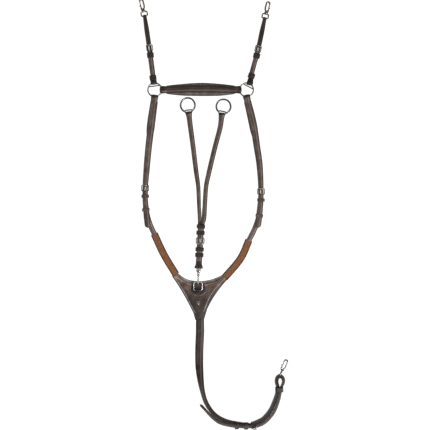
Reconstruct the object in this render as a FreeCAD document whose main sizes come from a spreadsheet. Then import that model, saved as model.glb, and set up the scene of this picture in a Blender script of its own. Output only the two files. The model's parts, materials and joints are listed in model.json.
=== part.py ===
import FreeCAD, Part
import math
import os

import Sketcher

V = FreeCAD.Vector

# Driving dimensions, in millimetres and degrees.
DIMENSIONS = {
    # flat leather and webbing
    "shoulder_width": 16.0,
    "saddle_width": 13.0,
    "branch_width": 15.5,
    "stem_width": 18.5,
    "girth_width": 22.0,
    "elastic_width": 20.0,
    "folded_thick": 4.0,
    "single_thick": 2.5,
    "padding_thick": 5.7,
    "elastic_thick": 3.0,
    "lining_thick": 2.5,
    "face_thick": 4.0,
    "chape_thick": 2.0,
    "piping_thick": 1.2,
    # heights of the layers above the surface that the harness lies on
    "floor_level": 0.0,
    "face_top": 6.5,
    "folded_low": 1.2,
    "single_low": 6.0,
    "elastic_low": 1.7,
    "ring_height": 6.2,
    "fork_ring_height": 4.2,
    "heel_height": 3.2,
    # wither rings
    "wither_ring_radius": 20.5,
    "wither_wire": 2.0,
    "slot_bar_offset": 11.0,
    "slot_bar_radius": 1.7,
    # fork rings
    "fork_ring_radius": 21.5,
    "fork_wire": 1.9,
    "fork_eye_half_width": 10.3,
    "fork_eye_inner": 13.3,
    "fork_eye_outer": 22.5,
    # leather loops round metal
    "ring_loop_outer": 6.0,
    "ring_loop_inner": 4.2,
    "ring_loop_width": 16.0,
    "saddle_loop_outer": 5.2,
    "saddle_loop_inner": 3.6,
    "saddle_loop_width": 11.0,
    "branch_loop_outer": 4.0,
    "branch_loop_inner": 2.5,
    "eye_loop_outer": 3.8,
    "eye_loop_inner": 2.2,
    "heel_loop_outer": 2.5,
    "heel_loop_inner": 1.5,
    # buckles and keepers
    "buckle_length": 17.0,
    "buckle_wire": 1.2,
    "buckle_rise": 8.0,
    "tongue_radius": 1.0,
    "tongue_eye_outer": 2.6,
    "tongue_eye_width": 3.0,
    "keeper_wall": 1.4,
    "keeper_length": 12.0,
    "saddle_keeper": 9.0,
    "keeper_base": 1.0,
    "keeper_top": 8.9,
    # dee
    "dee_half": 12.6,
    "dee_wire": 1.9,
    "dee_height": 10.6,
    "dee_tilt": 8.0,
    "dee_loop_outer": 4.0,
    "dee_loop_inner": 2.3,
    "dee_loop_width": 16.0,
    # snaps
    "snap_length": 45.0,
    "snap_wire": 2.0,
    "snap_throat": 5.0,
    "eye_wire": 1.6,
    "eye_half_width": 9.5,
    "eye_half_length": 6.5,
    "gate_radius": 1.5,
    "gate_pin": 1.0,
    "gate_barrel": 2.4,
    "gate_start": 24.5,
    "stud_radius": 3.2,
    "stud_height": 1.6,
    # girth strap where it leans over
    "girth_lift": 4.6,
    "girth_eye_height": 15.6,
}


def filled_sheet(doc):
    """A spreadsheet with one aliased cell for each driving dimension."""
    cells = doc.addObject("Spreadsheet::Sheet", "Sizes")
    for row, (alias, value) in enumerate(DIMENSIONS.items(), start=1):
        cells.set(f"A{row}", alias)
        cells.set(f"B{row}", str(value))
        cells.setAlias(f"B{row}", alias)
    doc.recompute()
    return cells


doc = FreeCAD.newDocument("Martingale")
sheet = filled_sheet(doc)
pieces = []


def size(alias):
    return float(sheet.get(alias))


def keep(piece, label):
    """Names a finished sub-part and puts it on the list of pieces to write."""
    piece.Label = label
    pieces.append(piece)
    return piece


# ---------------------------------------------------------------- outlines


def offset_side(points, widths, side):
    """The points of one side of a band, half its width away from the middle line."""
    found = []
    for i, p in enumerate(points):
        before = points[max(i - 1, 0)]
        after = points[min(i + 1, len(points) - 1)]
        along = (after - before).normalize()
        across = V(-along.y, along.x, 0)
        found.append(p + across * (side * widths[i] / 2))
    return found


def side_edges(side):
    """Arcs through each three points in a row, or one line through two."""
    if len(side) == 2:
        return [Part.LineSegment(side[0], side[1])]
    return [Part.Arc(side[i], side[i + 1], side[i + 2]) for i in range(0, len(side) - 2, 2)]


def band(points, widths, tip=0.0):
    """A strap's outline round its middle line, with a rounded end that stands out by tip."""
    points = [V(x, y, 0) for x, y in points]
    left = offset_side(points, widths, 1)
    right = offset_side(points, widths, -1)[::-1]
    edges = side_edges(left)
    if tip:
        crown = points[-1] + (points[-1] - points[-2]).normalize() * tip
        edges.append(Part.Arc(left[-1], crown, right[0]))
    else:
        edges.append(Part.LineSegment(left[-1], right[0]))
    return edges + side_edges(right) + [Part.LineSegment(right[-1], left[0])]


def outline(start, steps):
    """A closed outline: each step is a point to draw a line to, or (through, end) for an arc."""
    edges, here = [], V(*start, 0)
    for step in steps + [start]:
        if isinstance(step[0], tuple):
            through, end = V(*step[0], 0), V(*step[1], 0)
            edges.append(Part.Arc(here, through, end))
        else:
            end = V(*step, 0)
            edges.append(Part.LineSegment(here, end))
        here = end
    return edges


def rounded_path(points, radius):
    """Straight runs through the points, joined by tangent arcs."""
    points = [V(x, y, 0) for x, y in points]
    edges, here = [], points[0]
    for before, corner, after in zip(points, points[1:], points[2:]):
        into = (corner - before).normalize()
        out = (after - corner).normalize()
        turn = into.getAngle(out)
        reach = radius * math.tan(turn / 2)
        first, last = corner - into * reach, corner + out * reach
        inward = (out - into).normalize()
        middle = corner + inward * (radius / math.cos(turn / 2) - radius)
        edges += [Part.LineSegment(here, first), Part.Arc(first, middle, last)]
        here = last
    return edges + [Part.LineSegment(here, points[-1])]


# ---------------------------------------------------------------- features


def origin_plane(body, role):
    return [f for f in body.Origin.OriginFeatures if f.Role == role][0]


def sketch_on(body, role, height=0.0):
    sketch = body.newObject("Sketcher::SketchObject", body.Name + "_sketch")
    sketch.AttachmentSupport = [(origin_plane(body, role), "")]
    sketch.MapMode = "FlatFace"
    sketch.AttachmentOffset = FreeCAD.Placement(V(0, 0, height), FreeCAD.Rotation())
    return sketch


def slab(name, edges, low, thick, holes=()):
    """A flat piece: an outline at the height of one cell, padded by the thickness of another."""
    body = doc.addObject("PartDesign::Body", name)
    sketch = sketch_on(body, "XY_Plane", size(low))
    sketch.addGeometry(edges, False)
    for x, y, radius in holes:
        sketch.addGeometry(Part.Circle(V(x, y, 0), V(0, 0, 1), radius), False)
    sketch.setExpression("AttachmentOffset.Base.z", f"Sizes.{low}")
    pad = body.newObject("PartDesign::Pad", name + "_pad")
    pad.Profile = sketch
    pad.setExpression("Length", f"Sizes.{thick}")
    sketch.Visibility = False
    return body


def wire(name, points, corner, radius):
    """A round bar bent along a path that starts on the X axis, heading along Y."""
    body = doc.addObject("PartDesign::Body", name)
    path = sketch_on(body, "XY_Plane")
    path.addGeometry(rounded_path(points, corner), False)
    profile = sketch_on(body, "XZ_Plane")
    profile.addGeometry(Part.Circle(V(points[0][0], 0, 0), V(0, 0, 1), size(radius)), False)
    profile.addConstraint(Sketcher.Constraint("Radius", 0, size(radius)))
    profile.setExpression("Constraints[0]", f"Sizes.{radius}")
    pipe = body.newObject("PartDesign::AdditivePipe", name + "_pipe")
    pipe.Profile = profile
    pipe.Spine = (path, [""])
    return body


def rod(name, radius, length, centre, direction):
    """A cylinder centred on a point. Its radius is a cell, or a cell and what is added to it."""
    cylinder = doc.addObject("Part::Cylinder", name)
    cylinder.setExpression("Radius", f"Sizes.{radius}")
    cylinder.Height = length
    turn = FreeCAD.Rotation(V(0, 0, 1), V(*direction))
    cylinder.Placement = FreeCAD.Placement(
        V(*centre) - turn.multVec(V(0, 0, length / 2)), turn
    )
    return cylinder


def block(name, low, high):
    box = doc.addObject("Part::Box", name)
    box.Length, box.Width, box.Height = [b - a for a, b in zip(low, high)]
    box.Placement = FreeCAD.Placement(V(*low), FreeCAD.Rotation())
    return box


def fused(name, shapes):
    fuse = doc.addObject("Part::MultiFuse", name)
    fuse.Shapes = shapes
    return fuse


def cut(name, base, tool):
    result = doc.addObject("Part::Cut", name)
    result.Base = base
    result.Tool = tool
    return result


def flat_place(x, y, angle, height=0.0):
    """A strap's own frame: X across it, Y along it, turned in the plane by an angle."""
    return FreeCAD.Placement(V(x, y, height), FreeCAD.Rotation(V(0, 0, 1), angle))


def moved(shape, place):
    shape.Placement = place.multiply(shape.Placement)
    return shape


def looped(name, base, loops, cuts=()):
    """A strap with leather loops: each loop is (place, height, outer, inner, width)."""
    shells, holes = [], list(cuts)
    for i, (place, height, outer, inner, width) in enumerate(loops):
        shell = rod(f"{name}_loop{i}", outer, width, (0, 0, height), (1, 0, 0))
        hole = rod(f"{name}_hole{i}", inner, width + 8, (0, 0, height), (1, 0, 0))
        shells.append(moved(shell, place))
        holes.append(moved(hole, place))
    whole = fused(name + "_whole", [base] + shells)
    tool = holes[0] if len(holes) == 1 else fused(name + "_holes", holes)
    return cut(name, whole, tool)


# ---------------------------------------------------------------- hardware

HEEL_SLOT = 4.4


def buckle(prefix, place, width):
    """A buckle frame and its tongue. The heel bar lies across Y = 0 and the front bar beyond it."""
    length, rise = size("buckle_length"), size("buckle_rise")
    half_width = size(width) / 2 + 2.4
    reach = math.hypot(length, rise - 0.3) / 2
    tilt = math.degrees(math.asin((rise - 0.3) / (2 * reach)))
    corners = [
        (half_width, 0),
        (half_width, reach),
        (-half_width, reach),
        (-half_width, -reach),
        (half_width, -reach),
        (half_width, 0),
    ]
    frame = wire(prefix + "_buckle", corners, 3.0, "buckle_wire")
    lean = FreeCAD.Rotation(V(1, 0, 0), tilt)
    heel = V(0, 0, size("heel_height"))
    frame.Placement = FreeCAD.Placement(heel + lean.multVec(V(0, reach, 0)), lean)
    keep(moved(frame, place), prefix + "_buckle")

    clear = size("buckle_wire") + size("tongue_radius") + 0.25
    pin_length = 2 * reach + 1.2
    eye_width = size("tongue_eye_width")
    eye = rod(prefix + "_tongue_eye", "tongue_eye_outer", eye_width, (0, 0, 0), (1, 0, 0))
    pin_middle = (0, pin_length / 2, clear)
    pin = rod(prefix + "_tongue_pin", "tongue_radius", pin_length, pin_middle, (0, 1, 0))
    hole = rod(prefix + "_tongue_hole", "heel_loop_inner", 8.0, (0, 0, 0), (1, 0, 0))
    tongue = cut(prefix + "_tongue", fused(prefix + "_tongue_whole", [eye, pin]), hole)
    tongue.Placement = FreeCAD.Placement(heel, lean)
    keep(moved(tongue, place), prefix + "_tongue")


def keeper(name, place, width, length="keeper_length", high=None):
    """A flat leather ring round the straps, open along Y."""
    wall = size("keeper_wall")
    inner = size(width) / 2 + 2.0
    low = size("keeper_base")
    high = size("keeper_top") if high is None else high
    body = doc.addObject("PartDesign::Body", name)
    sketch = sketch_on(body, "XZ_Plane")
    for half, bottom, top in ((inner + wall, low - 1.0, high + wall), (inner, low, high)):
        corners = [V(-half, bottom, 0), V(half, bottom, 0), V(half, top, 0), V(-half, top, 0)]
        for start, end in zip(corners, corners[1:] + corners[:1]):
            sketch.addGeometry(Part.LineSegment(start, end), False)
    pad = body.newObject("PartDesign::Pad", name + "_pad")
    pad.Profile = sketch
    pad.Midplane = True
    pad.setExpression("Length", f"Sizes.{length}")
    return moved(body, place)


def heel_loop(place, width):
    """The fold of a strap's end round a buckle's heel bar."""
    return (place, size("heel_height"), "heel_loop_outer", "heel_loop_inner", size(width))


def heel_slot(name, place):
    """The slot in that fold that the tongue moves in."""
    return moved(block(name, (-HEEL_SLOT / 2, -5, -1), (HEEL_SLOT / 2, 4, 9)), place)


def tongue_slot(name, place):
    """The buckle hole in the strap above, long enough for the tongue to swing."""
    return moved(block(name, (-HEEL_SLOT / 2, -4, 4), (HEEL_SLOT / 2, 13, 12)), place)


def snap(prefix, place, roll=0.0, eye_roll=0.0, swivel=False):
    """A trigger snap: an eye for the strap at the origin, and a hook that reaches to Y = snap_length."""
    half, reach = size("eye_half_width"), size("eye_half_length")
    far, side, start = size("snap_length"), size("snap_throat"), size("gate_start")
    corners = [(half, 0), (half, reach), (-half, reach), (-half, -reach), (half, -reach), (half, 0)]
    eye_wire = wire(prefix + "_eye_wire", corners, 3.0, "eye_wire")
    eye_wire.Placement = FreeCAD.Placement(V(0, reach, 0), FreeCAD.Rotation(V(0, 1, 0), eye_roll))

    bend = wire(
        prefix + "_bend",
        [(0, 0), (0, 4.5), (side, 8), (side, far + side - 17), (-side, far + side - 17), (-side, far - 19)],
        4.3,
        "snap_wire",
    )
    bend.Placement = FreeCAD.Placement(V(0, 17, 0), FreeCAD.Rotation())
    boss = block(prefix + "_boss", (-6, 15.5 if swivel else 12, -3.6), (6, 20, 3.6))
    ears = [
        block(f"{prefix}_ear{i}", (-side - 2, 18, low), (-side + 2, start + 2.2, low + 1.1))
        for i, low in enumerate((-3.6, 2.5))
    ]
    pin = rod(prefix + "_gate_pin", "gate_pin", 6.0, (-side, start, 0), (0, 0, 1))
    hook_shapes = [bend, boss, pin] + ears
    roll_turn = FreeCAD.Placement(V(0, 0, 0), FreeCAD.Rotation(V(0, 1, 0), roll))
    if swivel:
        stem = rod(prefix + "_stem", "snap_wire", 6.0, (0, 2 * reach + 2.6, 0), (0, 1, 0))
        keep(moved(fused(prefix + "_eye", [eye_wire, stem]), place), prefix + "_eye")
        bore = rod(prefix + "_bore", "heel_loop_outer", 6.4, (0, 2 * reach + 3.0, 0), (0, 1, 0))
        hook = cut(prefix + "_hook", fused(prefix + "_hook_whole", hook_shapes), bore)
        keep(moved(moved(hook, roll_turn), place), prefix + "_hook")
    else:
        hook = fused(prefix + "_hook", hook_shapes)
        moved(hook, roll_turn)
        keep(moved(fused(prefix + "_snap", [eye_wire, hook]), place), prefix + "_snap")

    gate_length = far - 2 - start - 0.5
    bar_middle = (-side, start + gate_length / 2, 0)
    bar = rod(prefix + "_gate_bar", "gate_radius", gate_length, bar_middle, (0, 1, 0))
    barrel = rod(prefix + "_gate_barrel", "gate_barrel", 4.2, (-side, start, 0), (0, 0, 1))
    knob = rod(prefix + "_gate_knob", "gate_radius", 4.4, (-side - 2.2, start + 7, 0), (1, 0, 0))
    hole = rod(prefix + "_gate_hole", "heel_loop_inner", 8.0, (-side, start, 0), (0, 0, 1))
    gate = cut(prefix + "_gate", fused(prefix + "_gate_whole", [bar, barrel, knob]), hole)
    keep(moved(moved(gate, roll_turn), place), prefix + "_gate")


# ---------------------------------------------------------------- chest

CHEST_TOP = [(-69, 55.5), ((-46, 37), (-22.5, 28.5)), ((-1.5, 26.5), (19.5, 28.5)), ((48, 36), (75, 49.5))]
CHEST_END_Y = -90.5
DEE_X, DEE_Y = -4.5, -0.8


def chest():
    """The Y-shaped chest piece: lining, padded face, piping, dee chape and stud."""
    lining_steps = CHEST_TOP[1:] + [(84.3, 35), ((45, -12), (18, -60)), (13, CHEST_END_Y)]
    lining_steps += [(-9.6, CHEST_END_Y), (-10.5, -69), ((-45, -6), (-77.4, 40.5))]
    lining_edges = outline(CHEST_TOP[0], lining_steps)
    keep(slab("chest_lining", lining_edges, "floor_level", "lining_thick"), "chest_lining")
    face_start = (-66, 51)
    face_steps = [((-45, 34.5), (-22.5, 25.5)), ((-1.5, 23.5), (19.5, 25.5)), ((48, 33), (73, 45.5))]
    face_steps += [(78.5, 35.5), ((40, -14), (13, -62)), (9.5, -87), (-7, -87), (-7, -66)]
    face_steps += [((-41, -5), (-72.5, 40))]
    keep(slab("chest_face", outline(face_start, face_steps), "lining_thick", "face_thick"), "chest_face")
    left_piping = band([(-68.3, 40), (-38.3, -5), (-5.5, -64)], [1.6] * 3)
    right_piping = band([(74, 35.5), (36.5, -13.5), (10.8, -62)], [1.6] * 3)
    strips = [
        slab(f"piping_{side}", edges, "face_top", "piping_thick")
        for side, edges in (("left", left_piping), ("right", right_piping))
    ]
    piping = doc.addObject("Part::Compound", "chest_piping")
    piping.Links = strips
    keep(piping, "chest_piping")

    patch_edges = outline((-12.5, -1), [(3.5, -1), (3.5, -14), ((-4.5, -18), (-12.5, -14))])
    patch = slab("dee_patch", patch_edges, "face_top", "chape_thick")
    collar_place, collar_width = flat_place(DEE_X, DEE_Y, 0), size("dee_loop_width")
    collar = (collar_place, size("dee_height"), "dee_loop_outer", "dee_loop_inner", collar_width)
    keep(looped("dee_chape", patch, [collar]), "dee_chape")
    stud_height = size("stud_height")
    stud_middle = (-3.6, -42, size("face_top") + stud_height / 2)
    keep(rod("chest_stud", "stud_radius", stud_height, stud_middle, (0, 0, 1)), "chest_stud")

    half = size("dee_half")
    corners = [(half, 0), (half, half), (-half, half), (-half, -half), (half, -half), (half, 0)]
    dee = wire("chest_dee", corners, 6.0, "dee_wire")
    lean = FreeCAD.Rotation(V(1, 0, 0), size("dee_tilt"))
    middle = V(DEE_X, DEE_Y, size("dee_height")) + lean.multVec(V(0, half, 0))
    dee.Placement = FreeCAD.Placement(middle, lean)
    keep(dee, "chest_dee")


# ---------------------------------------------------------------- shoulders

WITHER_LEFT, WITHER_RIGHT, WITHER_Y = -134.0, 141.0, 600.0

SHOULDERS = {
    "left": {
        "ring_x": WITHER_LEFT,
        "upper": [(-147, 477), (-158, 365), (-162.8, 290), (-155, 188)],
        "padding": [(-136, 567), (-145, 503), (-152.6, 441)],
        "heel": (-162.6, 297, 0.5),
        "lower": [(-162.4, 268), (-159.5, 240), (-150, 202), (-134.3, 166)],
        "fixed_keeper": (-162.4, 281, 0.5),
        "running_keeper": (-160.6, 241, 5.0),
        "elastic": [(-133.2, 163.6), (-107, 107.4), (-74.5, 53)],
        "holes": [(-157.2, 389), (-158.9, 339)],
    },
    "right": {
        "ring_x": WITHER_RIGHT,
        "upper": [(163.5, 490), (180, 380), (184, 290), (176, 188)],
        "padding": [(144.5, 567), (158, 505), (171.6, 441)],
        "heel": (184.4, 287, -1.5),
        "lower": [(183.2, 255), (178.2, 222), (166, 185), (147.3, 147)],
        "fixed_keeper": (184.3, 270, -1.5),
        "running_keeper": (179.3, 223, -8.5),
        "elastic": [(145.9, 144.4), (124.2, 96), (90.5, 53)],
        "holes": [(179.3, 388), (181.6, 358)],
    },
}


def shoulder(side):
    """One shoulder: padded billet, folded lower strap with its buckle, keepers and elastic."""
    part, width = SHOULDERS[side], size("shoulder_width")
    name = side + "_shoulder"
    heel = flat_place(*part["heel"])
    ring_place = flat_place(part["ring_x"], WITHER_Y - size("wither_ring_radius"), 0)

    middle = [(part["ring_x"], WITHER_Y - size("wither_ring_radius"))] + part["upper"]
    holes = [(x, y, 2.0) for x, y in part["holes"]]
    upper = slab(name + "_blank", band(middle, [width] * 5, 5.0), "single_low", "single_thick", holes)
    loop_width = size("ring_loop_width")
    ring_loop = (ring_place, size("ring_height"), "ring_loop_outer", "ring_loop_inner", loop_width)
    strap = looped(name + "_strap", upper, [ring_loop], [tongue_slot(name + "_slot", heel)])
    keep(strap, name + "_strap")
    padding_edges = band(part["padding"], [20.0, 22.0, 22.5])
    keep(slab(name + "_padding", padding_edges, "floor_level", "padding_thick"), name + "_padding")

    lower_middle = [tuple(heel.Base)[:2]] + part["lower"]
    lower = slab(name + "_lower_blank", band(lower_middle, [width] * 5), "folded_low", "folded_thick")
    heel_cut = heel_slot(name + "_heel_slot", heel)
    keep(looped(name + "_chape", lower, [heel_loop(heel, "shoulder_width")], [heel_cut]), name + "_chape")
    buckle(name, heel, "shoulder_width")
    for kind in ("fixed_keeper", "running_keeper"):
        label = f"{name}_{kind}"
        keep(keeper(label, flat_place(*part[kind]), "shoulder_width"), label)
    elastic = band(part["elastic"], [size("elastic_width")] * 3)
    keep(slab(side + "_elastic", elastic, "elastic_low", "elastic_thick"), side + "_elastic")


# ---------------------------------------------------------------- withers


def wither():
    """The padded wither strap and the two rings that it joins."""
    radius = size("wither_ring_radius")
    left_x, right_x = WITHER_LEFT + radius, WITHER_RIGHT - radius
    middle_x = (left_x + right_x) / 2
    lining_edges = outline(
        (left_x + 9, 590),
        [((middle_x, 583), (right_x - 9, 590)), (right_x - 9, 611), ((middle_x, 621), (left_x + 9, 611))],
    )
    keep(slab("wither_lining", lining_edges, "floor_level", "padding_thick"), "wither_lining")
    strap_edges = outline(
        (left_x, 592),
        [(left_x + 14, 590), ((middle_x, 591), (right_x - 14, 590)), (right_x, 592)]
        + [(right_x, 608), (right_x - 14, 611), ((middle_x, 617), (left_x + 14, 611)), (left_x, 608)],
    )
    blank = slab("wither_blank", strap_edges, "single_low", "single_thick")
    height, loop_width = size("ring_height"), size("ring_loop_width")
    loops = [
        (flat_place(x, WITHER_Y, 90), height, "ring_loop_outer", "ring_loop_inner", loop_width)
        for x in (left_x, right_x)
    ]
    keep(looped("wither_strap", blank, loops), "wither_strap")
    for side, part in SADDLES.items():
        name = side + "_wither_ring"
        torus = doc.addObject("Part::Torus", name + "_wire")
        torus.setExpression("Radius1", "Sizes.wither_ring_radius")
        torus.setExpression("Radius2", "Sizes.wither_wire")
        offset = size("slot_bar_offset")
        bar_length = 2 * math.sqrt(radius**2 - offset**2)
        bar = rod(name + "_bar", "slot_bar_radius", bar_length, (offset, 0, 0), (0, 1, 0))
        place = flat_place(part["ring_x"], WITHER_Y, part["ring_angle"], height)
        keep(moved(fused(name, [torus, bar]), place), name)


# ---------------------------------------------------------------- saddle straps

SADDLES = {
    "left": {
        "ring_x": WITHER_LEFT,
        "ring_angle": 98.0,
        "lower": [(-140.5, 655), (-147, 705)],
        "heel": (-148.3, 717, 6.5),
        "hook": [(-140.2, 645), (-151.5, 735)],
        "eye": (-164.0, 821, 13.0),
        "keepers": [(-147.0, 704, 6.5), (-139.2, 636, 7.0)],
        "roll": 0.0,
    },
    "right": {
        "ring_x": WITHER_RIGHT,
        "ring_angle": 62.0,
        "lower": [(158, 655), (170.5, 700)],
        "heel": (173.8, 714, -13.5),
        "hook": [(157.3, 651), (180, 740)],
        "eye": (195.5, 814, -13.0),
        "keepers": [(171.3, 702, -14.0), (155.8, 642, -18.5)],
        "roll": 180.0,
    },
}


def saddle(side):
    """One saddle strap: lower strap with its buckle, hook strap, keepers and snap."""
    part, name = SADDLES[side], side + "_saddle"
    width = size("saddle_width")
    angle = math.radians(part["ring_angle"])
    ring_x = part["ring_x"] + size("wither_ring_radius") * math.cos(angle)
    ring_y = WITHER_Y + size("wither_ring_radius") * math.sin(angle)
    ring_place = flat_place(ring_x, ring_y, part["ring_angle"] - 90)
    heel = flat_place(*part["heel"])
    (first_x, first_y), second = part["lower"]
    narrow_end = ((ring_x + first_x) / 2, (ring_y + first_y) / 2)
    middle = [(ring_x, ring_y), narrow_end, (first_x, first_y), second, tuple(heel.Base)[:2]]
    loop_width = size("saddle_loop_width")
    widths = [loop_width, width, width, width, width]
    lower = slab(name + "_lower_blank", band(middle, widths), "folded_low", "folded_thick")
    ring_loop = (ring_place, size("ring_height"), "saddle_loop_outer", "saddle_loop_inner", loop_width)
    loops = [ring_loop, heel_loop(heel, "saddle_width")]
    keep(looped(name + "_strap", lower, loops, [heel_slot(name + "_heel_slot", heel)]), name + "_strap")

    eye = flat_place(*part["eye"])
    hook_middle = part["hook"] + [tuple(eye.Base)[:2]]
    blank_edges = band(hook_middle[::-1], [width] * len(hook_middle), 4.0)
    blank = slab(name + "_hook_blank", blank_edges, "single_low", "single_thick")
    eye_loop = (eye, size("ring_height"), "eye_loop_outer", "eye_loop_inner", width)
    slot = tongue_slot(name + "_slot", heel)
    keep(looped(name + "_hook_strap", blank, [eye_loop], [slot]), name + "_hook_strap")
    buckle(name, heel, "saddle_width")
    rings = [
        keeper(f"{name}_keeper{i}", flat_place(*at), "saddle_width", "saddle_keeper")
        for i, at in enumerate(part["keepers"])
    ]
    group = doc.addObject("Part::Compound", name + "_keepers")
    group.Links = rings
    keep(group, name + "_keepers")
    snap(name, flat_place(*part["eye"], size("ring_height")), roll=part["roll"])


# ---------------------------------------------------------------- fork

FORK_RINGS = {"left": (-35.1, 554.1, 7.0), "right": (72.0, 549.9, -12.0)}
BRANCHES = {
    "left": [(-27.9, 495), (-20, 437), (-11.4, 350), (-2.0, 242.6)],
    "right": [(62.5, 490), (46, 426), (28, 345), (14.2, 242.6)],
}
FORK_HEEL = (2.6, 156, 176.7)
FORK_EYE_X = -2.4


def dee_bar():
    """The middle of the dee's upper bar, which the fork's snap hooks."""
    lean, reach = math.radians(size("dee_tilt")), 2 * size("dee_half")
    return V(DEE_X, DEE_Y + reach * math.cos(lean), size("dee_height") + reach * math.sin(lean))


def fork_eye():
    """The middle of the snap's eye bar, one snap's length from the dee's bar and level with the strap."""
    bar = dee_bar()
    aside, rise = FORK_EYE_X - bar.x, size("ring_height") - bar.z
    reach = math.sqrt(size("snap_length") ** 2 - aside**2 - rise**2)
    return V(FORK_EYE_X, bar.y + reach, size("ring_height"))


def fork():
    """The martingale fork: rings, branches, stem with its buckle, lower strap and snap."""
    height, outer = size("fork_ring_height"), size("fork_eye_outer")
    half = (outer - size("fork_eye_inner")) / 2
    wide = size("fork_eye_half_width")
    for side, (x, y, angle) in FORK_RINGS.items():
        name = side + "_fork_ring"
        torus = doc.addObject("Part::Torus", name + "_wire")
        torus.setExpression("Radius1", "Sizes.fork_ring_radius")
        torus.setExpression("Radius2", "Sizes.fork_wire")
        torus.Angle3 = 300
        torus.Placement = FreeCAD.Placement(V(0, 0, 0), FreeCAD.Rotation(V(0, 0, 1), -60))
        corners = [(wide, 0), (wide, half), (-wide, half), (-wide, -half), (wide, -half), (wide, 0)]
        eye = wire(name + "_eye", corners, 2.6, "fork_wire")
        eye.Placement = FreeCAD.Placement(V(0, half - outer, 0), FreeCAD.Rotation())
        place = flat_place(x, y, angle, height)
        keep(moved(fused(name, [torus, eye]), place), name)

        bar = flat_place(x, y, angle).multiply(flat_place(0, -outer, 0))
        middle = [tuple(bar.Base)[:2]] + BRANCHES[side]
        width = size("branch_width")
        name = side + "_branch"
        blank = slab(name + "_blank", band(middle, [width] * 5), "folded_low", "folded_thick")
        loop = (bar, height, "branch_loop_outer", "branch_loop_inner", width)
        keep(looped(name, blank, [loop]), name)

    heel = flat_place(*FORK_HEEL)
    stem_steps = [(22.0, 237.4), (15.5, 200), (12.0, 156), (-6.8, 156), (-5.0, 200)]
    stem = slab("fork_stem_blank", outline((-9.0, 237.4), stem_steps), "folded_low", "folded_thick")
    heel_cut = heel_slot("fork_heel_slot", heel)
    keep(looped("fork_stem", stem, [heel_loop(heel, "stem_width")], [heel_cut]), "fork_stem")
    start, end = fork_eye(), dee_bar()
    eye = flat_place(start.x, start.y, 176.7)
    blank_edges = band([(start.x, start.y), (4.6, 190)], [size("stem_width")] * 2, 5.0)
    blank = slab("fork_billet_blank", blank_edges, "single_low", "single_thick")
    eye_loop = (eye, size("ring_height"), "eye_loop_outer", "eye_loop_inner", 15.0)
    keep(looped("fork_billet", blank, [eye_loop], [tongue_slot("fork_slot", heel)]), "fork_billet")
    buckle("fork", heel, "stem_width")
    spots = [(4.3, 190.5, -3.3), (3.2, 171.5, -3.3), (0.6, 122, -3.3), (-0.4, 105, -3.3)]
    rings = [keeper(f"fork_keeper{i}", flat_place(*at), "stem_width") for i, at in enumerate(spots)]
    group = doc.addObject("Part::Compound", "fork_keepers")
    group.Links = rings
    keep(group, "fork_keepers")

    along = (end - start).normalize()
    across = along.cross(V(0, 0, 1)).normalize()
    snap("fork", framed(start, across, along, across.cross(along)), roll=90.0)


def framed(origin, x_axis, y_axis, z_axis):
    matrix = FreeCAD.Matrix(
        x_axis.x, y_axis.x, z_axis.x, origin.x,
        x_axis.y, y_axis.y, z_axis.y, origin.y,
        x_axis.z, y_axis.z, z_axis.z, origin.z,
        0, 0, 0, 1,
    )  # fmt: skip
    return FreeCAD.Placement(matrix)


# ---------------------------------------------------------------- girth strap

# Middle line of each strap on the surface, as x, y, the lean from flat in degrees and the width.
GIRTH_MAIN = [
    (1.5, -95.8, 0, 22), (2.4, -129, 0, 22), (0.3, -180, 3, 22), (-0.3, -229, 15, 22),
    (3.5, -270, 40, 22), (9.6, -304.5, 66, 22), (21, -339, 68, 22), (45.6, -373.5, 64, 22),
    (76.5, -392, 58, 22), (110, -400.5, 50, 22), (153, -404, 50, 22),
]  # fmt: skip
GIRTH_BILLET = [
    (1.8, -341, 72, 22), (18.9, -361.5, 72, 22), (36.5, -380.5, 68, 22), (60, -396, 61, 22),
    (88, -402.2, 54, 22), (110.5, -404.5, 50, 22), (130, -406.3, 50, 22), (153, -407.1, 50, 22),
    (173, -405, 52, 22), (195, -395, 60, 22), (220.4, -366.5, 65, 22), (233.8, -335.4, 66, 22),
    (240.6, -309, 68, 19), (242.1, -296, 70, 16), (244.5, -287, 72, 15), (252.5, -272, 76, 15),
    (253, -262, 80, 15), (248.4, -253, 86, 15), (240.5, -249.7, 90, 15), (232.6, -253, 86, 15),
    (228, -262, 80, 15), (228.3, -272, 76, 15), (231.8, -287, 72, 15), (232.9, -296, 70, 16),
    (230.2, -309, 68, 19), (222.4, -333.4, 66, 22), (209.8, -360.5, 65, 22), (188, -385.5, 61, 22),
    (181, -390.5, 59, 22),
]  # fmt: skip
# How far the billet lies above the strap under it, from middle to middle.
GIRTH_STACK = 4.8
GIRTH_SPACING = 7.0


def girth_curve(path):
    curve = Part.BSplineCurve()
    curve.interpolate([V(*row[:2], 0) for row in path])
    return curve


def ribbon(name, path, thick, raised=0.0):
    """A strap that leans over and twists as it follows a curve: a ruled solid through even stations."""
    curve = girth_curve(path)
    spots = [curve.parameter(V(*row[:2], 0)) for row in path]
    stations = round(curve.length() / GIRTH_SPACING)
    sections = []
    for k in range(stations + 1):
        at = curve.parameterAtDistance(curve.length() * k / stations, curve.FirstParameter)
        i = max(n for n, s in enumerate(spots) if s <= at + 1e-9)
        i = min(i, len(path) - 2)
        part = (at - spots[i]) / (spots[i + 1] - spots[i])
        lean, width = (path[i][n] + (path[i + 1][n] - path[i][n]) * part for n in (2, 3))
        middle, along, across, up = strap_frame(curve, at, math.radians(lean), thick, raised)
        signs = ((1, 1), (-1, 1), (-1, -1), (1, -1))
        corners = [middle + across * (a * width / 2) + up * (b * thick / 2) for a, b in signs]
        sections.append(Part.makePolygon(corners + corners[:1]))
    solid = doc.addObject("Part::Feature", name)
    solid.Shape = Part.makeLoft(sections, True, True)
    return solid


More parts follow.
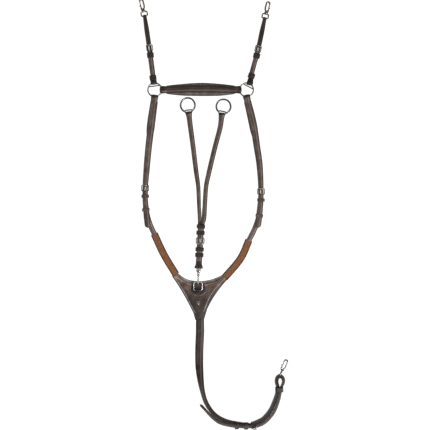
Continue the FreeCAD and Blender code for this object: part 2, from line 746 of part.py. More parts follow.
def strap_frame(curve, at, lean, thick, raised=0.0):
    """The middle, the way along, the way across and the outer face's normal of a leaning strap."""
    width = size("girth_width")
    along = curve.tangent(at)[0].normalize()
    outward = V(along.y, -along.x, 0)
    across = outward * math.cos(lean) - V(0, 0, math.sin(lean))
    up = V(0, 0, math.cos(lean)) + outward * math.sin(lean)
    rest = (width * math.sin(lean) + thick * math.cos(lean)) / 2
    rest += size("girth_lift") * math.sin(lean) + raised * math.cos(lean)
    return curve.value(at) + V(0, 0, rest), along, across, up


def girth():
    """The girth strap with its buckle, the hook strap with its tail and loop, and the swivel snap."""
    thick = size("folded_thick")
    curve = girth_curve(GIRTH_MAIN)
    lean = math.radians(GIRTH_MAIN[-1][2])

    def local_place(back):
        """The frame of a piece that lies on the strap, a distance back from the heel bar."""
        at = curve.parameterAtDistance(-back, curve.LastParameter) if back else curve.LastParameter
        middle, along, across, up = strap_frame(curve, at, lean, thick)
        return framed(middle - up * size("heel_height"), across, along, up)

    heel = local_place(0)
    main = ribbon("girth_blank", GIRTH_MAIN, thick)
    heel_cut = heel_slot("girth_heel_slot", heel)
    keep(looped("girth_strap", main, [heel_loop(heel, "girth_width")], [heel_cut]), "girth_strap")
    buckle("girth", heel, "girth_width")
    rings = [
        keeper(f"girth_keeper{i}", local_place(back), "girth_width", high=10.2)
        for i, back in enumerate((13, 41))
    ]

    billet = ribbon("girth_billet_blank", GIRTH_BILLET, size("single_thick"), GIRTH_STACK)
    keep(cut("girth_billet", billet, tongue_slot("girth_slot", heel)), "girth_billet")
    rings.append(girth_loop_keeper())
    group = doc.addObject("Part::Compound", "girth_keepers")
    group.Links = rings
    keep(group, "girth_keepers")

    along = V(math.sin(math.radians(23)), math.cos(math.radians(23)), 0)
    across = V(along.y, -along.x, 0)
    place = framed(V(240.7, -254.4, size("girth_eye_height")), across, along, V(0, 0, 1))
    snap("girth", place, eye_roll=90.0, swivel=True)


def girth_loop_keeper():
    """The leather ring that closes the loop of the hook strap."""
    outer = block("loop_keeper_outer", (226.6, -301, 5.2), (249.2, -291, 28.4))
    inner = block("loop_keeper_inner", (228.0, -302, 6.6), (247.8, -290, 27.0))
    return cut("girth_loop_keeper", outer, inner)


# ---------------------------------------------------------------- the whole harness


def checked():
    """Stops on a failed feature or a piece whose shape is missing or broken."""
    doc.recompute()
    for thing in doc.Objects:
        if any(word in ("Invalid", "Error") for word in thing.State):
            raise ValueError(f"{thing.Name} failed: {thing.State}")
    for piece in pieces:
        if piece.Shape.isNull() or not piece.Shape.isValid() or not piece.Shape.Solids:
            raise ValueError(f"{piece.Label} has no valid shape")


chest()
for side in ("left", "right"):
    shoulder(side)
wither()
for side in ("left", "right"):
    saddle(side)
fork()
girth()
checked()
os.makedirs("parts", exist_ok=True)
for piece in pieces:
    piece.Shape.exportStep(f"parts/{piece.Label}.step")
print(len(pieces), "pieces")
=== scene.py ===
import json
import math

import bpy
import mathutils.geometry
import numpy as np
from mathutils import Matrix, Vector


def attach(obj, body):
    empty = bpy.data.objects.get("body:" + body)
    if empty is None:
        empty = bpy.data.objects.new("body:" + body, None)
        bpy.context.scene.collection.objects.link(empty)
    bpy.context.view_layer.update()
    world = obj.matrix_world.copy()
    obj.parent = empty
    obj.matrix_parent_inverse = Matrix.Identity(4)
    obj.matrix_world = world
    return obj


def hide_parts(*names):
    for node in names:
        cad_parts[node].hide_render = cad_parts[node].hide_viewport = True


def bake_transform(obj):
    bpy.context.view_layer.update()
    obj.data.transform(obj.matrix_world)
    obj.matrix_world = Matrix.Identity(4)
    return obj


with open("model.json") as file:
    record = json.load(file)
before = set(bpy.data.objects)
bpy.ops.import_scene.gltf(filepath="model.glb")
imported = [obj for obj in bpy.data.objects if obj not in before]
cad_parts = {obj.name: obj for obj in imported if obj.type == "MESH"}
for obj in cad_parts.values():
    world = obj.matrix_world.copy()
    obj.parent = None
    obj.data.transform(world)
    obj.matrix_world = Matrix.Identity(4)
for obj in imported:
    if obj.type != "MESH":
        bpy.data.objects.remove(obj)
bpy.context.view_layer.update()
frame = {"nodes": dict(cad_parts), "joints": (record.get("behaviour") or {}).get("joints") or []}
joints = {joint["name"]: joint for joint in frame["joints"]}

MM = 0.001
STEP = 2.0  # spacing of a strap's rows, in millimetres like every length below
EDGE_COLUMNS = (0.0, 0.22, 0.6, 1.05, 1.45, 1.85, 2.4)  # distances in from a strap's edge
HOLE_COLUMN = 0.9
HOLE_RADIUS = 1.5
HOLE_DEPTH = 1.5
STITCH_INSET = 1.45
STITCH_PITCH = 3.1
STITCH_SLANT = 10.0  # degrees, as hand sewing leans
KEEPER_WALL = 1.4
KEEPER_CORNER = 2.4
FIRST_LAYER, SECOND_LAYER, TOP_LAYER = 2.15, 4.25, 7.25  # heights of the middles of straps that lie stacked
RING_HEIGHT = 6.2  # of the bars that straps fold round

# Straps as they lie, from the metal that each starts at: x and y, then width where it changes.
WITHER_RING = {"left": (-134.0, 600.0, 98.0), "right": (141.0, 600.0, 62.0)}
RING_RADIUS = 20.5
SHOULDERS = {
    "left": {
        "billet": [(-138, 548, 20.5), (-146.5, 477, 21), (-152, 430, 20), (-158, 365, 19), (-162.8, 290, 16),
                   (-158.8, 228, 18), (-154.2, 186, 17.5)],
        "padding": [(-134.8, 572), (-144.5, 503), (-152.2, 432)],
        "chape": [(-162.4, 268), (-159.5, 240), (-150, 202), (-134.3, 166)],
        "keepers": {"fixed_keeper": (-162.4, 281, 0.5), "running_keeper": (-160.6, 241, 5.0)},
        "elastic": [(-135.6, 168.5), (-107, 107.4), (-70.5, 46.5)],
        "holes": [(-156.4, 389), (-158.9, 351), (-161.6, 245), (-159.6, 219)],
    },
    "right": {
        "billet": [(147.5, 550, 20.5), (162.5, 490, 21), (172, 430, 20), (180, 375, 19), (184, 290, 16),
                   (179.6, 228, 18.5), (174.8, 186, 18)],
        "padding": [(142.6, 572), (158.5, 505), (172.4, 432)],
        "chape": [(183.2, 255), (178.2, 222), (166, 185), (147.3, 147)],
        "keepers": {"fixed_keeper": (184.3, 270, -1.5), "running_keeper": (179.3, 223, -8.5)},
        "elastic": [(148.3, 149.5), (124.2, 96), (75, 36.5)],
        "holes": [(179.3, 388), (182.0, 350), (183.2, 249), (180.2, 212)],
    },
}
SADDLES = {
    "left": {
        "lower": [(-139.3, 638), (-140.5, 655), (-147, 705)],
        "hook": [(-151.5, 735), (-146.3, 692), (-139.6, 641)],
        "keepers": [(-147.0, 704, 6.5), (-139.2, 636, 7.0)],
    },
    "right": {
        "lower": [(154.5, 637), (158, 655), (170.5, 700)],
        "hook": [(180, 740), (169.3, 697), (156.0, 647)],
        "keepers": [(171.3, 702, -14.0), (155.8, 642, -18.5)],
    },
}
FORK_RINGS = {"left": (-35.1, 554.1, 7.0), "right": (72.0, 549.9, -12.0)}
BRANCHES = {
    "left": [(-27.9, 495, 15.5), (-20, 437, 15), (-9.3, 350, 14), (-4, 313, 13), (-1.4, 252, 11.5),
             (0.5, 212, 11), (0.1, 198, 10.2), (-1, 170, 9.2)],
    "right": [(62.5, 490, 15.5), (46, 426, 15), (26.8, 345, 14.5), (20.2, 313, 13.7), (16, 252, 13.5),
              (13, 212, 14), (10.4, 198, 10.2), (8.2, 170, 9.2)],
}
FORK_KEEPERS = [(4.3, 190.5, -3.3), (3.2, 171.5, -3.3), (0.6, 122, -3.3), (-0.4, 105, -3.3)]
# The girth strap leans over as it turns: x, y, its lean from flat in degrees and its width.
GIRTH_MAIN = [
    (1.7, -84, 0, 24), (1.6, -97, 0, 25), (1.6, -129, 0, 25.5), (-0.6, -180, 3, 25), (-0.4, -229, 14, 24.5),
    (3.4, -270, 36, 23.5), (9.6, -304.5, 53, 22.5), (21, -338.5, 54, 22.5), (45.6, -372, 52, 22),
    (76.5, -390.4, 49, 22), (110, -399, 46, 22), (153, -404, 50, 22),
]
GIRTH_BILLET = [
    (1.5, -340.5, 46, 14), (20.5, -361, 57, 17), (38.5, -380, 58, 20), (60, -395, 54, 22),
    (88, -402.6, 50, 22), (110.5, -405.5, 48, 22), (130, -406.8, 48, 22), (153, -407.1, 50, 22),
    (173, -405, 52, 22), (195, -395.5, 58, 22), (220.8, -367.5, 60, 22), (234.4, -336, 61, 22),
    (241.4, -309, 61, 20), (242.6, -296, 58, 18), (246, -287, 54, 17), (250.3, -278, 52, 17),
    (251.6, -269, 52, 17), (248.4, -260, 52, 17), (240.6, -255.6, 52, 17), (232.8, -260, 52, 17),
    (230, -269, 52, 17), (230.8, -278, 52, 17), (233.6, -287, 54, 17), (233.6, -296, 58, 18),
    (231, -309, 60, 20), (223, -334, 60, 22), (210, -361, 60, 22), (189, -385, 58, 22),
    (176, -391.5, 58, 21), (165, -395, 62, 19), (154, -397, 66, 16),
]
GIRTH_STACK = 4.8  # how far the billet lies above the strap under it, from middle to middle
GIRTH_LIFT = 4.6
GIRTH_EYE_HEIGHT = 15.6
SHOULDER_WIDTH, SADDLE_WIDTH, FORK_WIDTH = 16, 14.4, 18.5
PLY, BILLET_PLY = 1.9, 2.5  # thickness of a strap's lower layers and of the billet on top


# ---------------------------------------------------------------- materials


BLACK, WHITE = (0, 0, 0), (1, 1, 1)


def shader(name, colour, roughness, **inputs):
    """A material with a Principled shader, its node tree and the shader's inputs."""
    material = bpy.data.materials.new(name)
    material.use_nodes = True
    material.diffuse_color = (*colour, 1)
    tree = material.node_tree
    sockets = next(n for n in tree.nodes if n.type == "BSDF_PRINCIPLED").inputs
    for socket, value in {"Base_Color": (*colour, 1), "Roughness": roughness, **inputs}.items():
        sockets[socket.replace("_", " ")].default_value = value
    return material, tree, sockets


def node(tree, kind, output, settings=None):
    """A new node's output. A setting is a number for an input, a socket to link to it, or a property."""
    made = tree.nodes.new("ShaderNode" + kind)
    for key, value in (settings or {}).items():
        if isinstance(value, bpy.types.NodeSocket):
            tree.links.new(value, made.inputs[key])
        elif isinstance(key, int) or key in made.inputs:
            made.inputs[key].default_value = value
        else:
            setattr(made, key, value)
    return made.outputs[output]


def ramp(tree, factor, *stops):
    """A colour that runs through the stops, each a share of the factor and a colour."""
    made = tree.nodes.new("ShaderNodeValToRGB")
    tree.links.new(factor, made.inputs["Fac"])
    elements = made.color_ramp.elements
    while len(elements) < len(stops):
        elements.new(0.5)
    for element, (position, colour) in zip(elements, stops):
        element.position = position
        element.color = (*colour, 1)
    return made.outputs["Color"]


def mixed(tree, factor, first, second, mode="MULTIPLY"):
    settings = {"blend_type": mode, "Fac": factor, "Color1": first, "Color2": second}
    return node(tree, "MixRGB", "Color", settings)


def calculate(tree, operation, *values):
    return node(tree, "Math", "Value", {"operation": operation, **dict(enumerate(values))})


def noise(tree, where, scale, detail, roughness=0.5):
    settings = {"Scale": scale, "Detail": detail, "Roughness": roughness, "Vector": where}
    return node(tree, "TexNoise", "Fac", settings)


def split(tree, vector, axis):
    return node(tree, "SeparateXYZ", axis, {"Vector": vector})


def spread(tree, factor, low, high, start=0.0, end=1.0):
    """A number that goes from low to high as the factor goes from start to end."""
    settings = {"Value": factor, "From Min": start, "From Max": end, "To Min": low, "To Max": high}
    return node(tree, "MapRange", "Result", settings)


def metres(tree):
    """Object coordinates, so that a pattern keeps its real scale in metres."""
    return node(tree, "TexCoord", "Object")


def strap_place(tree):
    """The place on a strap: its share of the way from the middle to the edge, and the distance along."""
    return node(tree, "UVMap", "UV", {"uv_map": "route"})


def relief(tree, inputs, height, strength, depth):
    """A bump on the surface, depth metres deep."""
    settings = {"Strength": strength, "Distance": depth, "Height": height}
    tree.links.new(node(tree, "Bump", "Normal", settings), inputs["Normal"])


def scaled(colour, share):
    return tuple(c * share for c in colour)


def leather(name, colour, roughness, grain=900.0, sheen=0.0, shine=0.3, border=0.4, highlight_strength=0.75, painted_light_span=None):
    """Dyed leather: pores and creases in relief, and a worn colour that runs in streaks along a strap.

    border sets how dark the face turns towards the strap's edges, partly a darker dye and partly painted
    shade where the rounded edges turn from the light, and rub how pale the painted highlight is that runs
    along its crown on the side that faces the key light.
    fade gives the two heights in metres between which the colour goes from painted shade, below, to painted
    light, above.
    """
    material, tree, inputs = shader(name, colour, roughness, Sheen_Weight=sheen, Specular_IOR_Level=shine)
    where, route = metres(tree), strap_place(tree)
    patches = noise(tree, where, 55.0, 5.0, 0.6)
    pores = node(tree, "TexVoronoi", "Distance", {"Scale": grain, "feature": "SMOOTH_F1", "Vector": where})
    fibres = noise(tree, where, grain * 0.55, 4.0)
    stretched = node(tree, "Mapping", "Vector", {"Scale": (3.2, 0.05, 1.0), "Vector": route})
    streaks = noise(tree, stretched, 1.0, 2.0)
    across = split(tree, route, "X")
    worn = calculate(tree, "MULTIPLY_ADD", patches, 0.55, calculate(tree, "MULTIPLY", streaks, 0.45))
    light = tuple(min(1.0, c * 1.9 + 0.008) for c in colour)
    paint = ramp(tree, worn, (0.36, scaled(colour, 0.5)), (0.49, colour), (0.64, light))
    # Painted highlight: a pale line along the crown, on the side of the strap that faces the key light.
    crown = calculate(tree, "MULTIPLY_ADD", streaks, 0.5, across)
    line = ramp(tree, crown, (0.36, BLACK), (0.62, scaled(WHITE, highlight_strength)), (0.84, BLACK))
    pale = tuple(c * 3.3 + 0.022 for c in colour)
    paint = mixed(tree, line, paint, (*pale, 1), "MIX")
    # The face darkens towards its edges: partly a darker dye, partly painted shade where the rounded edges
    # turn from the light.
    rim = ramp(tree, calculate(tree, "ABSOLUTE", across), (0.6, WHITE), (0.93, scaled(WHITE, border)))
    paint = mixed(tree, 1.0, paint, rim)
    paint = mixed(tree, 0.45, paint, ramp(tree, pores, (0.0, (0.55, 0.53, 0.52)), (0.45, WHITE)))
    # Painted light and shade: darker below the first height, lighter above the second.
    if painted_light_span:
        paint = mixed(tree, 1.0, paint, spread(tree, split(tree, where, "Y"), 0.55, 1.9, *painted_light_span))
    tree.links.new(paint, inputs["Base Color"])
    tree.links.new(spread(tree, patches, roughness - 0.09, roughness + 0.12), inputs["Roughness"])
    relief(tree, inputs, calculate(tree, "MULTIPLY_ADD", pores, 0.6, fibres), 0.55, 0.00012)
    return material


def burnished(name, colour):
    """A cut leather edge, dyed and rubbed, with the faint lines of its layers."""
    material, tree, inputs = shader(name, colour, 0.34, Coat_Weight=0.3, Coat_Roughness=0.25)
    layers = noise(tree, metres(tree), 700.0, 3.0)
    tree.links.new(ramp(tree, layers, (0.35, scaled(colour, 0.5)), (0.7, colour)), inputs["Base Color"])
    relief(tree, inputs, layers, 0.3, 0.0001)
    return material


def webbing(name, rib, gap):
    """Elastic webbing: fine ribs along it, crossed by the weft, with dark selvedges."""
    material, tree, inputs = shader(name, rib, 0.78, Sheen_Weight=0.12, Sheen_Roughness=0.5)
    route = strap_place(tree)
    weave = {"Distortion": 0.4, "Detail": 2.0, "Detail Scale": 3.0, "Vector": route}
    warp = node(tree, "TexWave", "Fac", {"bands_direction": "X", "Scale": 2.2, **weave})
    weft = node(tree, "TexWave", "Fac", {"bands_direction": "Y", "Scale": 4.6, **weave})
    stains = noise(tree, metres(tree), 90.0, 4.0)
    across = calculate(tree, "ABSOLUTE", split(tree, route, "X"))
    cloth = ramp(tree, warp, (0.12, gap), (0.5, rib))
    cloth = mixed(tree, 0.75, cloth, ramp(tree, weft, (0.0, (0.62, 0.58, 0.55)), (0.55, WHITE)))
    cloth = mixed(tree, 0.5, cloth, ramp(tree, stains, (0.3, (0.66, 0.62, 0.6)), (0.65, WHITE)))
    cloth = mixed(tree, 1.0, cloth, ramp(tree, across, (0.62, WHITE), (0.78, (0.2, 0.17, 0.17))))
    tree.links.new(cloth, inputs["Base Color"])
    relief(tree, inputs, calculate(tree, "MULTIPLY", warp, weft), 0.8, 0.0004)
    return material


def steel(name, colour, roughness):
    """Polished stainless steel with fine rubbing marks."""
    tint = (0.3, 0.3, 0.3, 1)
    material, tree, inputs = shader(name, colour, roughness, Metallic=1.0, Specular_Tint=tint)
    where = metres(tree)
    marks = noise(tree, where, 420.0, 6.0, 0.7)
    clouds = ramp(tree, noise(tree, where, 60.0, 2.0), (0.35, scaled(colour, 0.72)), (0.65, colour))
    tree.links.new(clouds, inputs["Base Color"])
    tree.links.new(spread(tree, marks, roughness * 0.6, roughness * 1.7), inputs["Roughness"])
    relief(tree, inputs, marks, 0.12, 0.00005)
    return material


def laid(face):
    """The materials of a strap's face, sides, back, stitches and dark stretches."""
    return [face, EDGE, FLESH, THREAD, DARK_GRAIN]


def thread(name, colour):
    """Waxed sewing thread with its twist."""
    material, tree, inputs = shader(name, colour, 0.55, Sheen_Weight=0.2)
    twist = {"Scale": 900.0, "Distortion": 2.0, "bands_direction": "DIAGONAL", "Vector": metres(tree)}
    strands = node(tree, "TexWave", "Fac", twist)
    tree.links.new(ramp(tree, strands, (0.2, scaled(colour, 0.5)), (0.7, colour)), inputs["Base Color"])
    relief(tree, inputs, strands, 0.5, 0.0001)
    return material


BROWN = (0.062, 0.0425, 0.034)
GRAIN = leather("bridle_leather", BROWN, 0.42)
DARK_GRAIN = leather("dark_leather", (0.0165, 0.0108, 0.0088), 0.38, highlight_strength=0.6)
PALE_GRAIN = leather("worn_leather", (0.1, 0.07, 0.064), 0.5, shine=0.25)
FLESH = leather("leather_underside", (0.075, 0.05, 0.04), 0.8, grain=600.0, sheen=0.2, shine=0.15)
EDGE = burnished("leather_edge", (0.022, 0.014, 0.012))
SOFT = leather("lining_leather", (0.11, 0.1, 0.086), 0.6, grain=650.0, sheen=0.05, shine=0.2,
               border=0.5, highlight_strength=0.0)
# Paler leather for the chest's piping, partly a lighter leather and partly a painted highlight along the
# beads' crests; it also paints the highlight arc on the stud.
HIGHLIGHT_PIPING = leather("piping_leather", (0.25, 0.225, 0.205), 0.4, grain=1100.0)
THREAD = thread("brown_thread", (0.12, 0.088, 0.072))
ELASTIC = webbing("elastic_webbing", (0.29, 0.108, 0.033), (0.1, 0.036, 0.012))
ELASTIC_EDGE = webbing("elastic_selvedge", (0.07, 0.035, 0.02), (0.03, 0.016, 0.01))
STEEL = steel("stainless_steel", (0.17, 0.17, 0.172), 0.24)
BRIGHT_STEEL = steel("polished_steel", (0.62, 0.6, 0.59), 0.25)
SNAP_STEEL = steel("snap_steel", (0.19, 0.16, 0.125), 0.24)
DEE_STEEL = steel("dee_steel", (0.4, 0.39, 0.385), 0.3)
FRAME_STEEL = steel("buckle_steel", (0.05, 0.047, 0.045), 0.3)
WITHER_GRAIN = leather("wither_leather", (0.028, 0.0152, 0.0118), 0.34, shine=0.5, border=0.15, highlight_strength=1.0)
GIRTH_GRAIN = leather("girth_leather", (0.024, 0.0142, 0.0108), 0.42, border=0.25, highlight_strength=1.0)
# The chest's leather is painted darker towards the bottom of the plate and lighter towards its top: painted
# shade and painted light.
CHEST_GRAIN = leather("chest_leather", (0.049, 0.0305, 0.0238), 0.42, painted_light_span=(-0.03, 0.03))
LEATHERS = laid(GRAIN)
DARK_LEATHERS = laid(DARK_GRAIN)
PALE_LEATHERS = laid(PALE_GRAIN)
WITHER_LEATHERS = laid(WITHER_GRAIN)
GIRTH_LEATHERS = laid(GIRTH_GRAIN)
PADS = [SOFT, EDGE, SOFT, THREAD]
ELASTICS = [ELASTIC, ELASTIC_EDGE, ELASTIC, THREAD]
FACE, SIDE, BACK, SEWN, DARK = range(5)  # places in those lists
KEY_LIGHT_SIDE = (0.78, -0.62, 0.0)  # a strap's painted highlight line lies on the side of it that faces this way, towards the key light


# ---------------------------------------------------------------- mesh pieces


class Skin:
    """Collects the vertices and faces of one piece, in millimetres, with a material for each face."""

    def __init__(self):
        self.points, self.faces, self.materials, self.route = [], [], [], []

    def add(self, points, faces, material, route=None):
        """material is one number, or one for each face.

        route gives each point's place: ten times its share of the way from the strap's middle to its edge,
        and its distance along the strap.
        """
        start = len(self.points)
        self.points += [tuple(p) for p in points]
        self.route += [(0.0, 0.0)] * len(points) if route is None else [tuple(r) for r in route]
        self.faces += [tuple(start + i for i in face) for face in faces]
        self.materials += [material] * len(faces) if isinstance(material, int) else list(material)

    def build(self, name, materials, crease=48.0):
        mesh = bpy.data.meshes.new(name)
        mesh.from_pydata([tuple(c * MM for c in p) for p in self.points], [], self.faces)
        for material in materials:
            mesh.materials.append(material)
        mesh.polygons.foreach_set("material_index", self.materials)
        mesh.polygons.foreach_set("use_smooth", [True] * len(self.faces))
        corners = np.zeros(len(mesh.loops), np.int32)
        mesh.loops.foreach_get("vertex_index", corners)
        layer = mesh.uv_layers.new(name="route")
        layer.data.foreach_set("uv", (np.array(self.route)[corners] / 10).astype(np.float32).ravel())
        mesh.set_sharp_from_angle(angle=math.radians(crease))
        mesh.validate()
        piece = bpy.data.objects.new(name, mesh)
        bpy.context.scene.collection.objects.link(piece)
        return piece

    def piece(self, name, materials, body, slot, *nodes):
        return dress(self.build(name, materials), body, slot, *nodes)


def unit(v):
    v = np.array(v, float)
    return v / np.linalg.norm(v)


def spline(rows, step):
    """Evenly spaced rows on a smooth line through the given ones. Their first three columns are places."""
    rows = np.array(rows, float)
    gaps = np.sqrt(np.linalg.norm(np.diff(rows[:, :3], axis=0), axis=1))
    knots = np.concatenate([[0], np.cumsum(gaps)])
    slopes = np.gradient(rows, knots, axis=0)
    t = np.linspace(0, 1, 24, endpoint=False)[:, None]
    dense = []
    for i, gap in enumerate(gaps):
        first, last = rows[i], rows[i + 1]
        leave, arrive = slopes[i] * gap, slopes[i + 1] * gap
        dense.append(
            (2 * t**3 - 3 * t**2 + 1) * first
            + (t**3 - 2 * t**2 + t) * leave
            + (3 * t**2 - 2 * t**3) * last
            + (t**3 - t**2) * arrive
        )
    dense = np.vstack(dense + [rows[-1:]])
    far = travelled(dense)
    at = np.linspace(0, far[-1], max(2, round(far[-1] / step)) + 1)
    return np.column_stack([np.interp(at, far, column) for column in dense.T])


def travelled(rows):
    """The distance along the rows at each of them."""
    return np.concatenate([[0], np.cumsum(np.linalg.norm(np.diff(rows[:, :3], axis=0), axis=1))])


def strap_frames(rows, down):
    """The way along, across and out of the face at each row, carried on without twist, then leaned.

    down is True for a strap whose first row lies face down, below the fold that turns it over.
    """
    along = np.gradient(rows[:, :3], axis=0)
    along /= np.linalg.norm(along, axis=1)[:, None]
    side = unit([along[0][1], -along[0][0], 0]) * (-1 if down else 1)
    across = []
    for way in along:
        side = unit(side - way * (side @ way))
        across.append(side)
    across = np.array(across)
    out = np.cross(across, along)
    lean = np.radians(rows[:, 3])[:, None]
    return along, across * np.cos(lean) - out * np.sin(lean), out * np.cos(lean) + across * np.sin(lean)


def columns(half, count):
    """Places across a strap from its left edge to its right one, closer together near the edges."""
    outer = [half - e for e in EDGE_COLUMNS]
    inside = 2 * HOLE_COLUMN
    inner = [outer[-1] + (inside - outer[-1]) * k / count for k in range(1, count + 1)]
    right = outer + inner + [HOLE_COLUMN]
    return np.array([-x for x in right] + [0.0] + right[::-1])


def rounding(inset, reach):
    """How far a soft edge has risen at a distance in from it."""
    return np.sin(np.clip(inset / reach, 0, 1) * math.pi / 2)


def section(u, half, thick, crown):
    """Heights of a strap's face and back, above its middle, at the places u across it."""
    inset = half - np.abs(u)
    edge = rounding(inset, EDGE_COLUMNS[3])
    base = thick - crown
    border = EDGE_COLUMNS[-2]
    rise = np.clip((inset - border) / max(half - border, 0.1) * 1.6, 0, 1)
    crease = 0.2 * np.exp(-(((inset - STITCH_INSET) / 0.33) ** 2))
    face = -thick / 2 + base * (0.55 + 0.45 * edge) + crown * (1 - (1 - rise) ** 2) - crease
    return face, -thick / 2 + base * 0.4 * (1 - edge)


def ring_faces(count, around, closed=False):
    """Quads between rings of points that follow each other."""
    faces = []
    for k in range(count if closed else count - 1):
        ring, after = k * around, (k + 1) % count * around
        for i in range(around):
            j = (i + 1) % around
            faces.append((ring + i, ring + j, after + j, after + i))
    return faces


def poled(low, rings, high):
    """Points and faces of rings closed by two poles, anticlockwise as the high pole sees them."""
    around = len(rings[0])
    points = [low, *(p for ring in rings for p in ring), high]
    faces = [tuple(1 + i for i in face) for face in ring_faces(len(rings), around)]
    end = len(points) - 1
    for i in range(around):
        j = (i + 1) % around
        faces += [(0, 1 + j, 1 + i), (end - around + i, end - around + j, end)]
    return np.array(points), faces


def circle(around):
    """The cosines and sines of even steps round a circle."""
    return [(math.cos(a), math.sin(a)) for a in (2 * math.pi * i / around for i in range(around))]


def pill(length, radius):
    """Points and faces of a stitch that lies along Y."""
    rings = [
        [(radius * r * c, y * length, -radius * r * s) for c, s in circle(6)]
        for y, r in ((-0.42, 0.7), (-0.15, 1.0), (0.15, 1.0), (0.42, 0.7))
    ]
    return poled((0, -length / 2, 0), rings, (0, length / 2, 0))


PILL = pill(2.3, 0.36)


def stitch(skin, place, along, across, out, slant=STITCH_SLANT):
    """One stitch on a surface, slanted a little as hand sewing is."""
    turn = math.radians(slant)
    way = along * math.cos(turn) + across * math.sin(turn)
    side = across * math.cos(turn) - along * math.sin(turn)
    points, faces = PILL
    skin.add(points @ np.array([side, way, out]) + place, faces, SEWN)


def stitch_line(skin, line, out, slant=STITCH_SLANT):
    """Stitches along a dense line on a surface whose outward ways are given."""
    far = travelled(line)
    count = int(far[-1] / STITCH_PITCH)
    for k in range(count):
        at = (k + 0.5) * far[-1] / count
        i = min(int(np.searchsorted(far, at)), len(line) - 1)
        share = (at - far[i - 1]) / max(far[i] - far[i - 1], 1e-6)
        place = line[i - 1] + (line[i] - line[i - 1]) * share
        way = unit(line[i] - line[i - 1])
        stitch(skin, place, way, np.cross(way, out[i]), out[i], slant)


def with_holes(far, holes):
    """Distances along a strap, with rows moved to fit the squares of cells that holes need."""
    spots = list(far)
    for at in holes:
        near = HOLE_RADIUS + HOLE_COLUMN
        spots = [s for s in spots if abs(s - at) > near]
        spots += [at + HOLE_COLUMN * k for k in range(-2, 3)]
    return np.array(sorted(spots))


def tip_share(far, reach, point):
    """How a strap's width closes over the last stretch, rounded or to a point."""
    x = np.clip((far - (far[-1] - reach)) / reach, 0, 1)
    return np.maximum(1 - x**point, 0.03)


def shell_faces(count, wide, kinds_of, closed=False, skipped=(), rims=()):
    """Faces and materials of a skin between an upper and a lower grid of points, rows by columns.

    kinds_of gives the materials of a cell's upper and lower face, closed joins the last row to the first,
    and rims are the outlines of openings where cells are skipped.
    """
    grid, faces, kinds = count * wide, [], []
    walls = [(b[0] * wide + b[1], a[0] * wide + a[1]) for rim in rims for a, b in zip(rim, rim[1:] + rim[:1])]
    for k in range(count if closed else count - 1):
        row, after = k * wide, (k + 1) % count * wide
        for i in range(wide - 1):
            if (k, i) not in skipped:
                a, b, c, d = row + i, row + i + 1, after + i + 1, after + i
                faces += [(a, b, c, d), (grid + a, grid + d, grid + c, grid + b)]
                kinds += kinds_of(k, i)
        walls += [(row, after), (after + wide - 1, row + wide - 1)]
    if not closed:
        walls += [(i + 1, i) for i in range(wide - 1)]
        walls += [(grid - wide + i, grid - wide + i + 1) for i in range(wide - 1)]
    faces += [(a, b, grid + b, grid + a) for a, b in walls]
    return faces, kinds + [SIDE] * len(walls)


def slot_rim(first, last, middle):
    """The outline of an opening four cells wide, between two rows."""
    rim = [(k, middle - 2) for k in range(first, last)]
    rim += [(last, middle + i) for i in range(-2, 2)]
    rim += [(k, middle + 2) for k in range(last, first, -1)]
    rim += [(first, middle + i) for i in range(2, -2, -1)]
    return rim[::-1]


